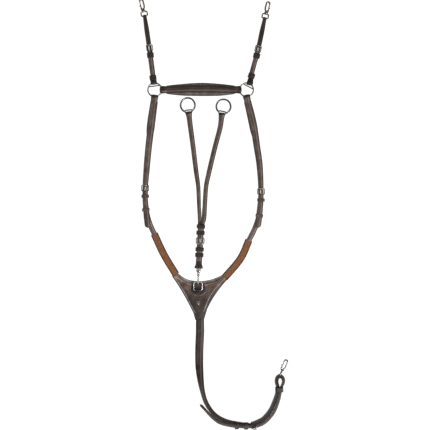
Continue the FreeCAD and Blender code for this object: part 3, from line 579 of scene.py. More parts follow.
def strap(name, rows, body, nodes, materials=LEATHERS, finish="bridle_leather", crown=0.5, tip=None,
          start_tip=None, holes=(), slots=(), sewn=(), ripple=None, crosses=(), dark=(), down=False):
    """A strap along rows of x, y, z, lean, width and thickness, dressed for its body and CAD nodes.

    tip and start_tip are (reach, power) of its ends. holes are distances to punched holes, slots are
    (from, to) distances of a tongue's opening, and sewn are (from, to) stretches with both edges sewn.
    crosses are distances of rows of stitches that run across it, and dark are its (from, to) dark stretches.
    ripple is the start, end, size and length of the waves in its face.
    """
    rows = np.array(rows, float)
    before = travelled(rows)
    far = with_holes(before, holes)
    if tip:
        tip_rows = before[-1] - tip[0] * np.cos(np.linspace(0, math.pi / 2, 12))
        far = np.concatenate([far[far < before[-1] - tip[0]], tip_rows])
    rows = np.column_stack([np.interp(far, before, column) for column in rows.T])
    along, across, out = strap_frames(rows, down)
    narrow = np.ones(len(rows))
    if tip:
        narrow *= tip_share(far, *tip)
    if start_tip:
        narrow *= tip_share(far[-1] - far[::-1], *start_tip)[::-1]
    widest = rows[:, 4].max() / 2
    count = max(1, round((widest - EDGE_COLUMNS[-1] - 2 * HOLE_COLUMN) / 1.3))
    cells = []
    for (width, thick), share in zip(rows[:, 4:6], narrow):
        u = columns(width / 2, count)
        cells.append([u * share, *section(u, width / 2, thick, crown * min(1, thick / 2)), u * 2 / width])
    flat, face, back, shares = np.array(cells).transpose(1, 0, 2)
    if ripple:
        begin, end, size, length = ripple
        wave = size * np.sin(far * 2 * math.pi / length) * np.clip((far - begin) / 15, 0, 1)
        face += (wave * np.clip((end - far) / 15, 0, 1))[:, None]
    wide = flat.shape[1]
    middle = wide // 2
    skipped, punched, rims = set(), set(), []
    shift = np.zeros_like(flat)
    for at in holes:
        k = int(np.argmin(abs(far - at)))
        for i in range(-2, 3):
            for j in range(-2, 3):
                if max(abs(i), abs(j)) < 2:
                    face[k + j, middle + i] -= HOLE_DEPTH
                else:
                    size = HOLE_RADIUS / math.hypot(i, j)
                    flat[k + j, middle + i] = i * size
                    shift[k + j, middle + i] = j * (size - HOLE_COLUMN)
        punched |= {(k + j, middle + i) for i in range(-2, 2) for j in range(-2, 2)}
    for slot in slots:
        first, last = (int(np.argmin(abs(far - s))) for s in slot)
        skipped |= {(k, middle + i) for k in range(first, last) for i in range(-2, 2)}
        rims.append(slot_rim(first, last, middle))

    def kinds_of(k, i):
        near_edge = i < 2 or i >= wide - 3
        shaded = any(begin <= far[k] <= end for begin, end in dark)
        upper = SIDE if near_edge or (k, i) in punched else DARK if shaded else FACE
        return upper, SIDE if near_edge else BACK

    place = rows[:, None, :3] + across[:, None] * flat[..., None] + along[:, None] * shift[..., None]
    top, bottom = (place + out[:, None] * height[..., None] for height in (face, back))
    # The share across is turned so that the painted highlight falls on the strap's side towards the key
    # light.
    facing = np.sign((across @ KEY_LIGHT_SIDE).sum()) or 1.0
    route = np.stack([10 * facing * shares, far[:, None] + shift], axis=-1).reshape(-1, 2)
    points = np.concatenate([top.reshape(-1, 3), bottom.reshape(-1, 3)])
    faces, kinds = shell_faces(len(rows), wide, kinds_of, False, skipped, rims)
    skin = Skin()
    skin.add(points, faces, kinds, np.concatenate([route, route]))
    groove = int(np.argmin(abs(np.array(EDGE_COLUMNS) - STITCH_INSET)))
    for begin, end in sewn:
        inside = (far >= begin) & (far <= end)
        for i, slant in ((groove, STITCH_SLANT), (wide - 1 - groove, -STITCH_SLANT)):
            stitch_line(skin, top[inside, i] + out[inside] * 0.12, out[inside], slant)
    for at in crosses:
        k = int(np.argmin(abs(far - at)))
        line = spline(top[k, groove + 1 : wide - 1 - groove] + out[k] * 0.08, 0.6)
        stitch_line(skin, line, np.tile(out[k], (len(line), 1)))
    return skin.piece(name, materials, body, finish, *nodes)


def bent(plan, height, width, thick):
    """Rows of a flat strap over a plan of x, y and, where it changes, width."""
    return [(x, y, height, 0.0, *(own or [width]), thick) for x, y, *own in plan]


def fold(centre, way, height, radius, width, thick, turn=115):
    """Rows of a strap that goes round a bar, from turn degrees to the same below: way points to the bar.

    A turn below zero starts under the bar.
    """
    way = unit([way[0], way[1], 0])
    rows = []
    for a in np.radians(np.linspace(turn, -turn, 9)):
        x, y = centre[:2] + way[:2] * radius * math.cos(a)
        rows.append((x, y, height + radius * math.sin(a), 0.0, width, thick))
    return rows


def stepped(centre, way, reach, height, width, thick):
    """One row of a strap at a distance short of the bar that it goes round."""
    x, y = centre[:2] - unit([way[0], way[1], 0])[:2] * reach
    return (x, y, height, 0.0, width, thick)


def dress(piece, body, slot, *nodes):
    """The last steps for every piece: what it rides on and the CAD nodes it stands for. Its finish is not
    used.
    """
    if body:
        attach(piece, body)
    if nodes:
        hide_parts(*nodes)
    return piece


def plane_frame(x, y, angle, z=0.0):
    """Origin and the ways X, Y and Z of a piece turned in the plane."""
    c, s = math.cos(math.radians(angle)), math.sin(math.radians(angle))
    return np.array([x, y, z]), np.array([[c, s, 0], [-s, c, 0], [0, 0, 1]])


def box_line(half, low, high, corner, sides, step):
    """Even places round a box with round corners, and the way out at each of them."""
    spots = []
    for x, y, start in ((half, high, 0), (-half, high, 90), (-half, low, 180), (half, low, 270)):
        centre = np.array([x - math.copysign(corner, x), y - corner if y == high else y + corner])
        for k in range(sides + 1):
            a = math.radians(start + 90 * k / sides)
            out = np.array([math.cos(a), math.sin(a)])
            spots.append(np.concatenate([centre + out * corner, out]))
    dense = []
    for a, b in zip(spots, spots[1:] + spots[:1]):
        cells = max(1, round(np.linalg.norm((b - a)[:2]) / step))
        dense += [a + (b - a) * k / cells for k in range(cells)]
    return np.array(dense)


def keeper(skin, at, half, low, high, length):
    """A leather ring round the straps: a rounded box section swept round, open along the strap."""
    origin, ways = at
    ring = box_line(half, low, high, KEEPER_CORNER, 6, 2.0)
    count = max(1, round((length / 2 - 3.0) / 1.4))
    right = [length / 2 - e for e in EDGE_COLUMNS[:-1]]
    right += [right[-1] * (1 - k / (count + 1)) for k in range(1, count + 1)]
    along = np.array([-y for y in right] + [0.0] + right[::-1])
    inset = length / 2 - np.abs(along)
    edge = rounding(inset, EDGE_COLUMNS[3])
    crease = 0.16 * np.exp(-(((inset - STITCH_INSET) / 0.3) ** 2))
    points = []
    for heights in (KEEPER_WALL * (0.55 + 0.45 * edge) - crease, KEEPER_WALL * 0.35 * (1 - edge)):
        for x, z, out_x, out_z in ring:
            points += [(x + out_x * rise, y, z + out_z * rise) for y, rise in zip(along, heights)]
    wide = len(along)
    faces, kinds = shell_faces(len(ring), wide, lambda k, i: (FACE if 1 < i < wide - 3 else SIDE, BACK), True)
    skin.add(np.array(points) @ ways + origin, faces, kinds)


# ---------------------------------------------------------------- metal


def tube(path, radius, closed=False, around=14):
    """Points and faces of a round bar along a dense path. radius is one number or one for each place."""
    path = np.array(path, float)
    radius = np.broadcast_to(radius, len(path)).astype(float)
    if closed:
        along = np.roll(path, -1, axis=0) - np.roll(path, 1, axis=0)
    else:
        along = np.gradient(path, axis=0)
    along /= np.linalg.norm(along, axis=1)[:, None]
    guess = np.array([0.0, 0, 1]) if abs(along[0][2]) < 0.8 else np.array([1.0, 0, 0])
    side = unit(np.cross(along[0], guess))
    points = []
    for place, way, r in zip(path, along, radius):
        side = unit(side - way * (side @ way))
        other = np.cross(way, side)
        points += [place + (side * c + other * s) * r for c, s in circle(around)]
    faces = ring_faces(len(path), around, closed)
    if not closed:
        faces += [tuple(range(around))[::-1], tuple(range(len(points) - around, len(points)))]
    return np.array(points), faces


def ball(centre, radii, rings=14, around=20):
    """An ellipsoid's points and faces."""
    bands = []
    for k in range(1, rings):
        a = math.pi * k / rings - math.pi / 2
        bands.append([(math.cos(a) * c, math.cos(a) * s, math.sin(a)) for c, s in circle(around)])
    points, faces = poled((0, 0, -1), bands, (0, 0, 1))
    return points * radii + centre, faces


def lathe(profile, around=28):
    """A solid of revolution round Y. The profile is a closed loop of radius and y."""
    points = [(r * c, y, r * s) for c, s in circle(around) for r, y in profile]
    return np.array(points), ring_faces(around, len(profile), True)


def exchanged(shell, order, place=(0, 0, 0)):
    """A shell with two of its axes exchanged, moved to a place."""
    points, faces = shell
    return points[:, order] + place, [face[::-1] for face in faces]


def rounded_loop(half_wide, low, high, corner, wire):
    """A closed wire in the X-Y plane, bent into a box with round corners."""
    line = box_line(half_wide, low, high, corner, 8, 1.5)
    return tube([(x, y, 0) for x, y, *_ in line], wire, closed=True)


def cast(name, shells, voxel, at, body, *nodes, finish=STEEL):
    """Joins closed shells into one casting: their union on a fine grid, smoothed where they meet."""
    origin, ways = at
    skin = Skin()
    for points, faces in shells:
        skin.add(points, faces, 0)
    rough = skin.build(name + "_rough", [finish])
    remesh = rough.modifiers.new("union", "REMESH")
    remesh.mode = "VOXEL"
    remesh.voxel_size = voxel * MM
    remesh.use_smooth_shade = True
    relax = rough.modifiers.new("fillets", "CORRECTIVE_SMOOTH")
    relax.iterations = 6
    relax.use_only_smooth = True
    relax.smooth_type = "SIMPLE"
    bpy.context.view_layer.update()
    mesh = bpy.data.meshes.new_from_object(rough.evaluated_get(bpy.context.evaluated_depsgraph_get()))
    old = rough.data
    bpy.data.objects.remove(rough)
    bpy.data.meshes.remove(old)
    mesh.name = name
    places = np.zeros(len(mesh.vertices) * 3)
    mesh.vertices.foreach_get("co", places)
    placed = (places.reshape(-1, 3) / MM @ ways + origin) * MM
    mesh.vertices.foreach_set("co", placed.astype(np.float32).ravel())
    mesh.materials.clear()
    mesh.materials.append(finish)
    mesh.update()
    piece = bpy.data.objects.new(name, mesh)
    bpy.context.scene.collection.objects.link(piece)
    return dress(piece, body, "steel", *nodes)


def place_of(name):
    """A joint's place in millimetres."""
    return np.array(joints[name]["pos_m"]) / MM


def joint_frame(name):
    """A frame at a joint's place: X along its axis, and Y level."""
    x_way = unit(joints[name]["axis"])
    y_way = unit(np.cross([0, 0, 1], x_way))
    return place_of(name), np.array([x_way, y_way, np.cross(x_way, y_way)])


def rolled(at, angle):
    """The same frame, turned about its own Y."""
    origin, (x_way, y_way, z_way) = at
    a = math.radians(angle)
    x_turned = x_way * math.cos(a) - z_way * math.sin(a)
    return origin, np.array([x_turned, y_way, np.cross(x_turned, y_way)])


def turned(shell, angle):
    """A shell turned about its own Y."""
    points, faces = shell
    a = math.radians(angle)
    turn = np.array([[math.cos(a), 0, -math.sin(a)], [0, 1, 0], [math.sin(a), 0, math.cos(a)]])
    return points @ turn, faces


def hook_shells(swivel):
    """A trigger snap's hook: a boss, a bent shank that thickens towards it, and ears for the gate."""
    bend = [(0, 17), (0.8, 20.6), (4.1, 24.6), (5.2, 29), (5.2, 37), (5.1, 43), (4.2, 47.6), (0.9, 50.1)]
    bend += [(-2.2, 49.6), (-4.6, 47.2), (-5.0, 43.4)]
    rows = spline([(x, y, 0) for x, y in bend], 1.2)
    share = np.linspace(0, 1, len(rows))
    thick = 2.4 + 0.8 * np.clip(1 - share * 5, 0, 1) + 0.25 * np.clip(share * 6 - 5, 0, 1)
    shells = [tube(rows, thick, around=20), ball((-5.0, 43.2, 0), (2.2, 1.6, 2.2))]
    if swivel:
        rim = [(2.5, 15.6), (4.2, 15.6), (5.0, 16.4), (5.2, 18.0), (4.4, 20.2), (0.05, 20.8)]
        shells.append(lathe(rim + [(0.05, 19.4), (2.5, 19.4)]))
    else:
        shells.append(ball((0, 16.2, 0), (5.9, 4.2, 3.5)))
    for side in (-1, 1):
        shells.append(ball((-4.3, 22.3, side * 3.0), (3.0, 5.0, 0.85)))
        shells.append(ball((-5.0, 24.5, side * 3.5), (1.5, 1.5, 0.8)))
    shells.append(ball((-2.6, 18.6, 0), (3.6, 2.6, 3.6)))
    return shells


def frame_along(origin, y_way):
    """A frame whose Y runs along a way and whose X is level."""
    x_way = unit(np.cross(y_way, [0, 0, 1]))
    return origin, np.array([x_way, y_way, np.cross(x_way, y_way)])


def eye_shell(roll=0.0, half=9.3):
    """The snap's eye: a wire box that the strap's end goes round."""
    return turned(rounded_loop(half, 0, 13, 3.4, 2.1), roll)


def gate_shells():
    """The sprung gate with its thumb piece."""
    lever = spline([(-5.0, 24.5, 0), (-5.0, 33, 0), (-5.0, 42.0, 0)], 1.0)
    swell = 1.45 + 0.35 * np.cos(np.linspace(-1.5, 1.5, len(lever))) ** 2
    barrel = lathe([(1.5, -2.1), (2.4, -2.1), (2.5, 0), (2.4, 2.1), (1.5, 2.1)])
    return [
        tube(lever, swell, around=18),
        exchanged(barrel, [0, 2, 1], (-5.0, 24.5, 0)),
        ball((-6.6, 31.5, 0), (1.9, 1.7, 1.6)),
        ball((-7.9, 31.5, 0), (1.3, 2.3, 2.1)),
    ]


def snap(prefix, at, body, finish, eye):
    """A trigger snap on its own body, and its gate on another."""
    shells = [*eye, *hook_shells(False)]
    cast(f"{prefix}_snap_steel", shells, 0.42, at, body[0], f"{prefix}_snap", finish=finish)
    cast(f"{prefix}_gate_steel", gate_shells(), 0.38, at, body[1], f"{prefix}_gate", finish=finish)


BUCKLE_REACH = math.hypot(17.0, 7.7)
BUCKLE_TILT = math.asin(7.7 / BUCKLE_REACH)


def tilted_frame(at):
    """A buckle's own frame: its front bar stands higher than its heel bar."""
    origin, (x_way, y_way, z_way) = at
    lean_y = y_way * math.cos(BUCKLE_TILT) + z_way * math.sin(BUCKLE_TILT)
    return origin, np.array([x_way, lean_y, np.cross(x_way, lean_y)])


def buckle(prefix, at, width, body):
    """A buckle's frame in dark steel, its front bar in bright polished steel, and its tongue."""
    half = width / 2 + 2.4
    tilted = tilted_frame(at)
    wire = rounded_loop(half, 0, BUCKLE_REACH, 3.0, 1.35)
    cast(f"{prefix}_buckle_steel", [wire], 0.34, tilted, body[0], f"{prefix}_buckle", finish=FRAME_STEEL)
    bar = spline([(x, BUCKLE_REACH, 0) for x in (3.4 - half, 0, half - 3.4)], 1.0)
    thick = np.interp(np.abs(bar[:, 0]), [half - 5, half - 3.4], [1.75, 1.3])
    cast(f"{prefix}_buckle_bar", [tube(bar, thick, around=20)], 0.3, tilted, body[0], f"{prefix}_buckle",
         finish=BRIGHT_STEEL)
    tongue(prefix, tilted, body[1])


def tongue(prefix, tilted, body):
    """A buckle's tongue: an eye rolled round the heel bar and a tapering prong over the front bar."""
    eye = exchanged(lathe([(1.5, -1.5), (2.55, -1.4), (2.6, 0), (2.55, 1.4), (1.5, 1.5)]), [1, 0, 2])
    prong = spline([(0, 0.8, 2.2), (0, 5, 2.5), (0, 12, 2.75), (0, 19.3, 2.75)], 0.8)
    taper = np.interp(np.linspace(0, 1, len(prong)), [0, 0.1, 0.6, 0.93, 1], [0.95, 1.15, 1.05, 0.9, 0.45])
    shells = [eye, tube(prong, taper)]
    cast(f"{prefix}_tongue_steel", shells, 0.3, tilted, body, f"{prefix}_tongue", finish=FRAME_STEEL)


# ---------------------------------------------------------------- the leather straps


def way_of(start, end):
    return unit([end[0] - start[0], end[1] - start[1], 0])


def nearest(rows, x, y):
    """The distance along dense rows of the last one nearest to a place in the plan."""
    gaps = np.hypot(rows[:, 0] - x, rows[:, 1] - y)
    close = np.flatnonzero(gaps < gaps.min() + 0.7)
    return travelled(rows)[close[-1]]


def tongue_slot(rows, heel, way=(0.0, 1.0)):
    """Where along a billet the opening for a tongue starts and ends, way being the buckle's way up."""
    return [nearest(rows, heel[0] + way[0] * back, heel[1] + way[1] * back) for back in (13, -4)]


def bar_slot(bar):
    """The opening in a strap's fold for the tongue that turns on the bar there."""
    return (bar - 7, bar + 6)


def leather_keeper(name, body, width, spots, length, materials=DARK_LEATHERS):
    """Leather rings round a strap, at places and angles in the plan."""
    skin = Skin()
    for x, y, angle in spots:
        keeper(skin, plane_frame(x, y, angle), width / 2 + 2.0, 1.0, 8.9, length)
    skin.piece(name + "_leather", materials, body, "bridle_leather", name)


def folded(plan, ring, heel, width):
    """Rows of a strap that goes round a ring at its start and a heel bar at its end, then back below."""
    rows = []
    if ring is not None:
        way = way_of(plan[1], ring)
        rows.append(stepped(ring, way, 10, 3.4, width + 3, 1.4))
        rows += fold(ring, way, RING_HEIGHT, 4.4, width + 5, 1.6, -115)
        rows.append(stepped(ring, way, 14, 4.6, width + 2, 1.9))
    rows += bent(plan, SECOND_LAYER, width, PLY)
    way = way_of(plan[-1], heel)
    rows.append(stepped(heel, way, 7, SECOND_LAYER, width, PLY))
    rows += fold(heel, way, 3.2, 2.05, width, 1.2, 90)
    rows.append(stepped(heel, way, 7, FIRST_LAYER, width, PLY))
    return rows + bent(plan[::-1], FIRST_LAYER, width, PLY)


def shoulder(side):
    """One shoulder strap: billet, padding, chape with its buckle, keepers and elastic."""
    part, body = SHOULDERS[side], f"{side}_shoulder"
    heel = joint_frame(f"{body}_tongue_lift")
    x, y, _ = WITHER_RING[side]
    ring = (x, y - RING_RADIUS)
    way = way_of(part["billet"][0], ring)
    rows = [stepped(ring, way, 13, 4.9, 19, 1.6)]
    rows += fold(ring, way, RING_HEIGHT, 5.2, 21.5, 1.8, -115)
    rows.append(stepped(ring, way, 16, 8.3, 20, 2.2))
    rows = spline(rows + bent(part["billet"], TOP_LAYER, SHOULDER_WIDTH, BILLET_PLY), STEP)
    holes = [nearest(rows, *spot) for spot in part["holes"]]
    pad_end = nearest(rows, *part["padding"][-1])
    strap(f"{body}_billet", rows, body, [f"{body}_strap"], crown=1.0, tip=(9, 2.2), holes=holes, down=True,
          slots=[tongue_slot(rows, heel[0])], sewn=[(34, pad_end - 4)], dark=[(0, 33)])

    rows = spline([(*p, 2.85, 0.0, w, 5.7) for p, w in zip(part["padding"], (22, 24.5, 23))], 2.5)
    pad = strap(f"{body}_pad", rows, body, [f"{body}_padding"], PADS, "lining_leather", crown=2.2,
                tip=(60, 2.2), start_tip=(8, 2.5))

    rows = spline(folded(part["chape"][::-1], None, heel[0], SHOULDER_WIDTH), STEP)
    bar = travelled(rows)[np.argmax(rows[:, 1])]
    strap(f"{body}_chape_leather", rows, body, [f"{body}_chape"], PALE_LEATHERS, crown=0.7,
          slots=[bar_slot(bar)], sewn=[(3, bar - 12)], crosses=[4, 16])
    for kind, rides in (("fixed_keeper", body), ("running_keeper", f"{side}_running_keeper")):
        leather_keeper(f"{body}_{kind}", rides, SHOULDER_WIDTH, [part["keepers"][kind]], 9.5, LEATHERS)
    buckle(body, heel, SHOULDER_WIDTH, (body, f"{body}_tongue"))

    rows = spline(bent(part["elastic"][::-1], 3.2, 22.5, 3.0), 1.5)
    middle = int(np.argmin(abs(rows[:, 1] - 100)))
    name = f"{side}_elastic"
    low_end, high_end = (
        strap(f"{name}_{end}", stretch, None, [name], ELASTICS, "elastic_webbing", crown=0.3)
        for end, stretch in (("low", rows[: middle + 1]), ("high", rows[middle:]))
    )
    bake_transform(low_end)
    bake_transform(high_end)


def saddle(side):
    """One strap to the saddle: folded lower strap with its buckle, hook strap, keepers and snap."""
    part, body = SADDLES[side], f"{side}_saddle"
    x, y, angle = WITHER_RING[side]
    ring = (x + RING_RADIUS * math.cos(math.radians(angle)), y + RING_RADIUS * math.sin(math.radians(angle)))
    place, ways = heel = joint_frame(f"{body}_tongue_lift")
    rows = spline(folded(part["lower"], ring, place, SADDLE_WIDTH), STEP)
    bar = travelled(rows)[np.argmax(rows[:, 1])]
    strap(f"{body}_chape", rows, body, [f"{body}_strap"], DARK_LEATHERS, crown=0.6,
          slots=[bar_slot(bar)], sewn=[(34, bar - 14)], down=True)

    eye = place_of(f"{side}_snap_swing")
    way = way_of(part["hook"][0], eye)
    rows = [stepped(eye, way, 34, 4.9, 12, 1.9), stepped(eye, way, 10, 4.7, 11, 1.8)]
    rows += fold(eye, way, RING_HEIGHT, 3.0, 11, 1.5, -100)
    rows += [stepped(eye, way, 12, 7.9, 12, 2.2), stepped(eye, way, 40, 7.3, SADDLE_WIDTH, BILLET_PLY)]
    rows = spline(rows + bent(part["hook"], TOP_LAYER, SADDLE_WIDTH, BILLET_PLY), STEP)
    slot = tongue_slot(rows, place, ways[1])
    strap(f"{body}_billet", rows, body, [f"{body}_hook_strap"], crown=0.8, tip=(8, 2.2), slots=[slot],
          sewn=[(56, 76)], crosses=[77], dark=[(0, slot[1] + 3)], down=True)
    leather_keeper(f"{body}_keepers", body, 14, part["keepers"], 15.0)
    buckle(body, heel, 13, (body, f"{body}_tongue"))
    roll = 0 if side == "left" else 180
    at = rolled(joint_frame(f"{side}_snap_swing"), roll)
    snap(body, at, (f"{body}_snap", f"{body}_gate"), SNAP_STEEL, [eye_shell(-roll)])


def wither():
    """The pad and strap over the withers, between the two rings."""
    plan = [(-104.5, 600.5, 24), (-60, 600.3, 34), (3.5, 601.4, 40), (65, 600.3, 35.5), (111.5, 600.3, 24)]
    rows = spline([(x, y, 2.85, 0.0, w, 5.7) for x, y, w in plan], 2.5)
    pad = strap("wither_pad", rows, "wither", ["wither_lining"], PADS, "lining_leather", crown=2.6,
                tip=(9, 2.5), start_tip=(9, 2.5), sewn=[(10, travelled(rows)[-1] - 10)])
    left = WITHER_RING["left"][0] + RING_RADIUS
    right = WITHER_RING["right"][0] - RING_RADIUS
    rows = [(left + 14, 600, 4.9, 0.0, 20, 1.6)]
    rows += fold((left, 600), (-1, 0), RING_HEIGHT, 5.2, 22.5, 1.8, -115)
    rows += [(left + 9, 600, 9.2, 0.0, 22, 2.0), (left + 20, 600.6, 7.5, 0.0, 22, 2.5)]
    rows += bent([(-50, 602.3, 22.5), (3.5, 603, 23), (57, 602.3, 22.5)], TOP_LAYER, 23, BILLET_PLY)
    rows += [(right - 20, 600.6, 7.5, 0.0, 22, 2.5), (right - 9, 600, 9.2, 0.0, 22, 2.0)]
    rows += fold((right, 600), (1, 0), RING_HEIGHT, 5.2, 22.5, 1.8)
    rows.append((right - 14, 600, 4.9, 0.0, 20, 1.6))
    rows = spline(rows, STEP)
    length = travelled(rows)[-1]
    strap("wither_band", rows, "wither", ["wither_strap"], WITHER_LEATHERS, crown=2.4,
          sewn=[(40, length - 40)], dark=[(0, 38), (length - 38, length)], down=True)


def fork_branch(side):
    """One branch of the fork, folded round the slot of its ring."""
    plan, body = BRANCHES[side], f"{side}_fork_ring"
    origin, ways = plane_frame(*FORK_RINGS[side], 4.2)
    arc = [(21.5 * math.cos(a), 21.5 * math.sin(a), 0) for a in np.linspace(-0.98, math.pi + 0.98, 90)]
    shells = [tube(arc, 2.8, around=20), rounded_loop(10.3, -22.5, -14.6, 2.6, 2.0)]
    shells += [ball((i * 11.4, -17.6, 0), (2.1, 2.6, 1.9)) for i in (-1, 1)]
    cast(f"{side}_martingale_ring", shells, 0.42, (origin, ways), body, body)

    eye = origin - ways[1] * 22.5
    way = way_of(plan[0], eye)
    x, y, width = plan[4]
    rows = [(x, y + 4, FIRST_LAYER, 0.0, width, PLY), *bent(plan[3::-1], FIRST_LAYER, 15.5, PLY)]
    rows.append(stepped(eye, way, 16, 2.0, 16, 1.8))
    rows += fold(eye, way, 4.2, 3.25, 20.5, 1.6, -100)
    rows.append(stepped(eye, way, 12, 5.2, 17, 1.8))
    rows = spline(rows + bent(plan, SECOND_LAYER, 15.5, PLY), 2.5)
    bar = travelled(rows)[np.argmax(rows[:, 1])]
    branch = strap(f"{side}_fork_branch", rows, None, [f"{side}_branch", "fork_stem"], crown=1.1,
                   sewn=[(bar + 12, bar + 44)], crosses=[bar + 14, bar + 42],
                   dark=[(bar - 9, bar + 9)], down=True)
    x, y, _ = joints["fork_branch_fold"]["pos_m"]
    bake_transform(branch)


def fork():
    """The martingale's fork: rings, branches that run together into the stem, billet and snap."""
    for side in BRANCHES:
        fork_branch(side)
    place, ways = heel = joint_frame("fork_tongue_lift")
    rows = folded([(5.2, 209, 19.5), (4.4, 185, 18.5)], None, place, FORK_WIDTH)
    rows = spline([(x, y, z + 0.25 * (z > 4), *rest) for x, y, z, *rest in rows], STEP)
    bar = travelled(rows)[np.argmin(rows[:, 1])]
    strap("fork_stem_chape", rows, "fork_strap", ["fork_stem"], DARK_LEATHERS, crown=0.6, start_tip=(14, 2),
          slots=[bar_slot(bar)], sewn=[(14, bar - 12)])

    plan = [(-0.6, 100), (2.6, 155), (4.9, 195)]
    eye = place_of("fork_strap_swing")
    way = way_of(plan[0], eye)
    rows = [stepped(eye, way, 30, 4.9, 16, 1.9), stepped(eye, way, 12, 4.7, 17, 1.8)]
    rows += fold(eye, way, RING_HEIGHT, 3.4, 25, 1.9, -100)
    rows += [stepped(eye, way, 9, 8.1, 19, 2.2), stepped(eye, way, 20, 7.3, FORK_WIDTH, BILLET_PLY)]
    rows = spline(rows + bent(plan, TOP_LAYER, FORK_WIDTH, BILLET_PLY), STEP)
    strap("fork_billet_leather", rows, "fork_strap", ["fork_billet"], crown=0.9, tip=(9, 2.2),
          slots=[tongue_slot(rows, place, ways[1])], sewn=[(44, 62)], dark=[(0, 58)], down=True)
    leather_keeper("fork_keepers", "fork_strap", FORK_WIDTH, FORK_KEEPERS, 12.0)
    buckle("fork", heel, FORK_WIDTH, ("fork_strap", "fork_tongue"))

    at = rolled(frame_along(eye, unit(place_of("fork_snap_swing") - eye)), 90)
    neck = [(5.0, 4), (5.4, 9), (4.9, 14), (4.3, 18)]
    plates = [turned(ball((0, y, 0), (half, 4.2, 2.1)), -90) for half, y in neck]
    snap("fork", at, ("fork_snap", "fork_gate"), BRIGHT_STEEL, [eye_shell(-90, 5.0), *plates])


# ---------------------------------------------------------------- the chest plate


def edge_line(start, steps, spacing=1.6):
    """Dense points round a closed outline. A step is a point, or an arc's middle point and end."""
    dense, here = [], np.array(start, float)
    for step in steps + [start]:
        if isinstance(step[0], tuple):
            middle, end = (np.array(p, float) for p in step)
            control = 2 * middle - (here + end) / 2
            count = max(2, round(np.linalg.norm(end - here) / spacing))
            t = (np.arange(count) / count)[:, None]
            dense += list((1 - t) ** 2 * here + 2 * t * (1 - t) * control + t**2 * end)
        else:
            end = np.array(step, float)
            count = max(1, round(np.linalg.norm(end - here) / spacing))
            dense += [here + (end - here) * k / count for k in range(count)]
        here = end
    return np.array(dense)


def rounded_corners(line, passes=3):
    for _ in range(passes):
        line = (np.roll(line, 1, axis=0) + 2 * line + np.roll(line, -1, axis=0)) / 4
    return line


def edge_distance(points, line):
    """How far each point is from a closed line."""
    a, b = line, np.roll(line, -1, axis=0)
    way = b - a
    t = np.clip(((points[:, None] - a) * way).sum(-1) / (way**2).sum(-1), 0, 1)
    return np.linalg.norm(points[:, None] - (a + way * t[..., None]), axis=-1).min(axis=1)


def plate(skin, outline, low, high, crown, edge_spacing=1.6, spacing=2.6, wrinkle=0.0):
    """A soft leather plate with rounded edges and a crowned middle. Returns its dense outline."""
    line = rounded_corners(edge_line(*outline, spacing=edge_spacing))
    rings = [line] + [inner_line(line, depth, 0.93) for depth in (0.25, 0.65, 1.1, 1.6, 2.4)]
    xs, ys = (np.arange(along.min(), along.max(), spacing) for along in line.T)
    grid = np.array([(x + (j % 2) * spacing / 2, y) for j, y in enumerate(ys) for x in xs])
    rings.append(grid[edge_distance(grid, line) > 3.6])
    count = len(line)
    edges = [(i, (i + 1) % count) for i in range(count)]
    spots = [Vector(spot) for spot in np.vstack(rings)]
    made = mathutils.geometry.delaunay_2d_cdt(spots, edges, [list(range(count))], 1, 1e-4)
    places = np.array([tuple(p) for p in made[0]])
    inset = edge_distance(places, line)
    edge = rounding(inset, 1.3)
    rise = 1 - (1 - np.clip(inset / 16, 0, 1)) ** 2
    base = high - low - crown
    folds = wrinkle * np.sin(places[:, 0] * 0.16 + np.sin(places[:, 1] * 0.05) * 2) * rise
    top = low + base * (0.5 + 0.5 * edge) + crown * rise + folds
    bottom = low + base * 0.35 * (1 - edge)
    total = len(places)
    faces, kinds = [], []
    for face in made[2]:
        a, b, c = (places[i] for i in face[:3])
        if (b[0] - a[0]) * (c[1] - a[1]) - (b[1] - a[1]) * (c[0] - a[0]) < 0:
            face = face[::-1]
        near = min(inset[i] for i in face) < 0.2
        faces += [tuple(face), tuple(total + i for i in reversed(face))]
        kinds += [SIDE if near else FACE, SIDE if near else BACK]
    order = [next(i for i, origins in enumerate(made[3]) if k in origins) for k in range(count)]
    for a, b in zip(order, order[1:] + order[:1]):
        faces.append((a, b, total + b, total + a))
        kinds.append(SIDE)
    # Shares across for the leather's paint: its painted highlight along the plate's top edge, and its
    # darkened edge along the other edges.
    highlit_top = places[:, 1] > 0.45 * np.abs(places[:, 0]) + 2
    share = (1 - np.clip(inset / 14, 0, 1)) * np.where(highlit_top, 0.62, -1)
    route = np.column_stack([10 * share, places[:, 0]])
    points = np.vstack([np.column_stack([places, height]) for height in (top, bottom)])
    skin.add(points, faces, kinds, np.vstack([route, route]))
    return line


def sewn_line(skin, line, height):
    """Stitches round a closed line on a level face."""
    path = np.column_stack([line, np.full(len(line), height)])
    path = np.vstack([path, path[:1]])
    stitch_line(skin, path, np.tile([0.0, 0, 1], (len(path), 1)))


def inward_ways(line):
    """The way in from a closed outline that runs clockwise, at each of its points."""
    along = np.roll(line, -1, axis=0) - np.roll(line, 1, axis=0)
    return np.column_stack([along[:, 1], -along[:, 0]]) / np.linalg.norm(along, axis=1)[:, None]


def inner_line(line, depth, kept=0.95):
    """A closed outline moved inwards, without the points that come too near it elsewhere."""
    moved = line + inward_ways(line) * depth
    return moved[edge_distance(moved, line) > depth * kept]


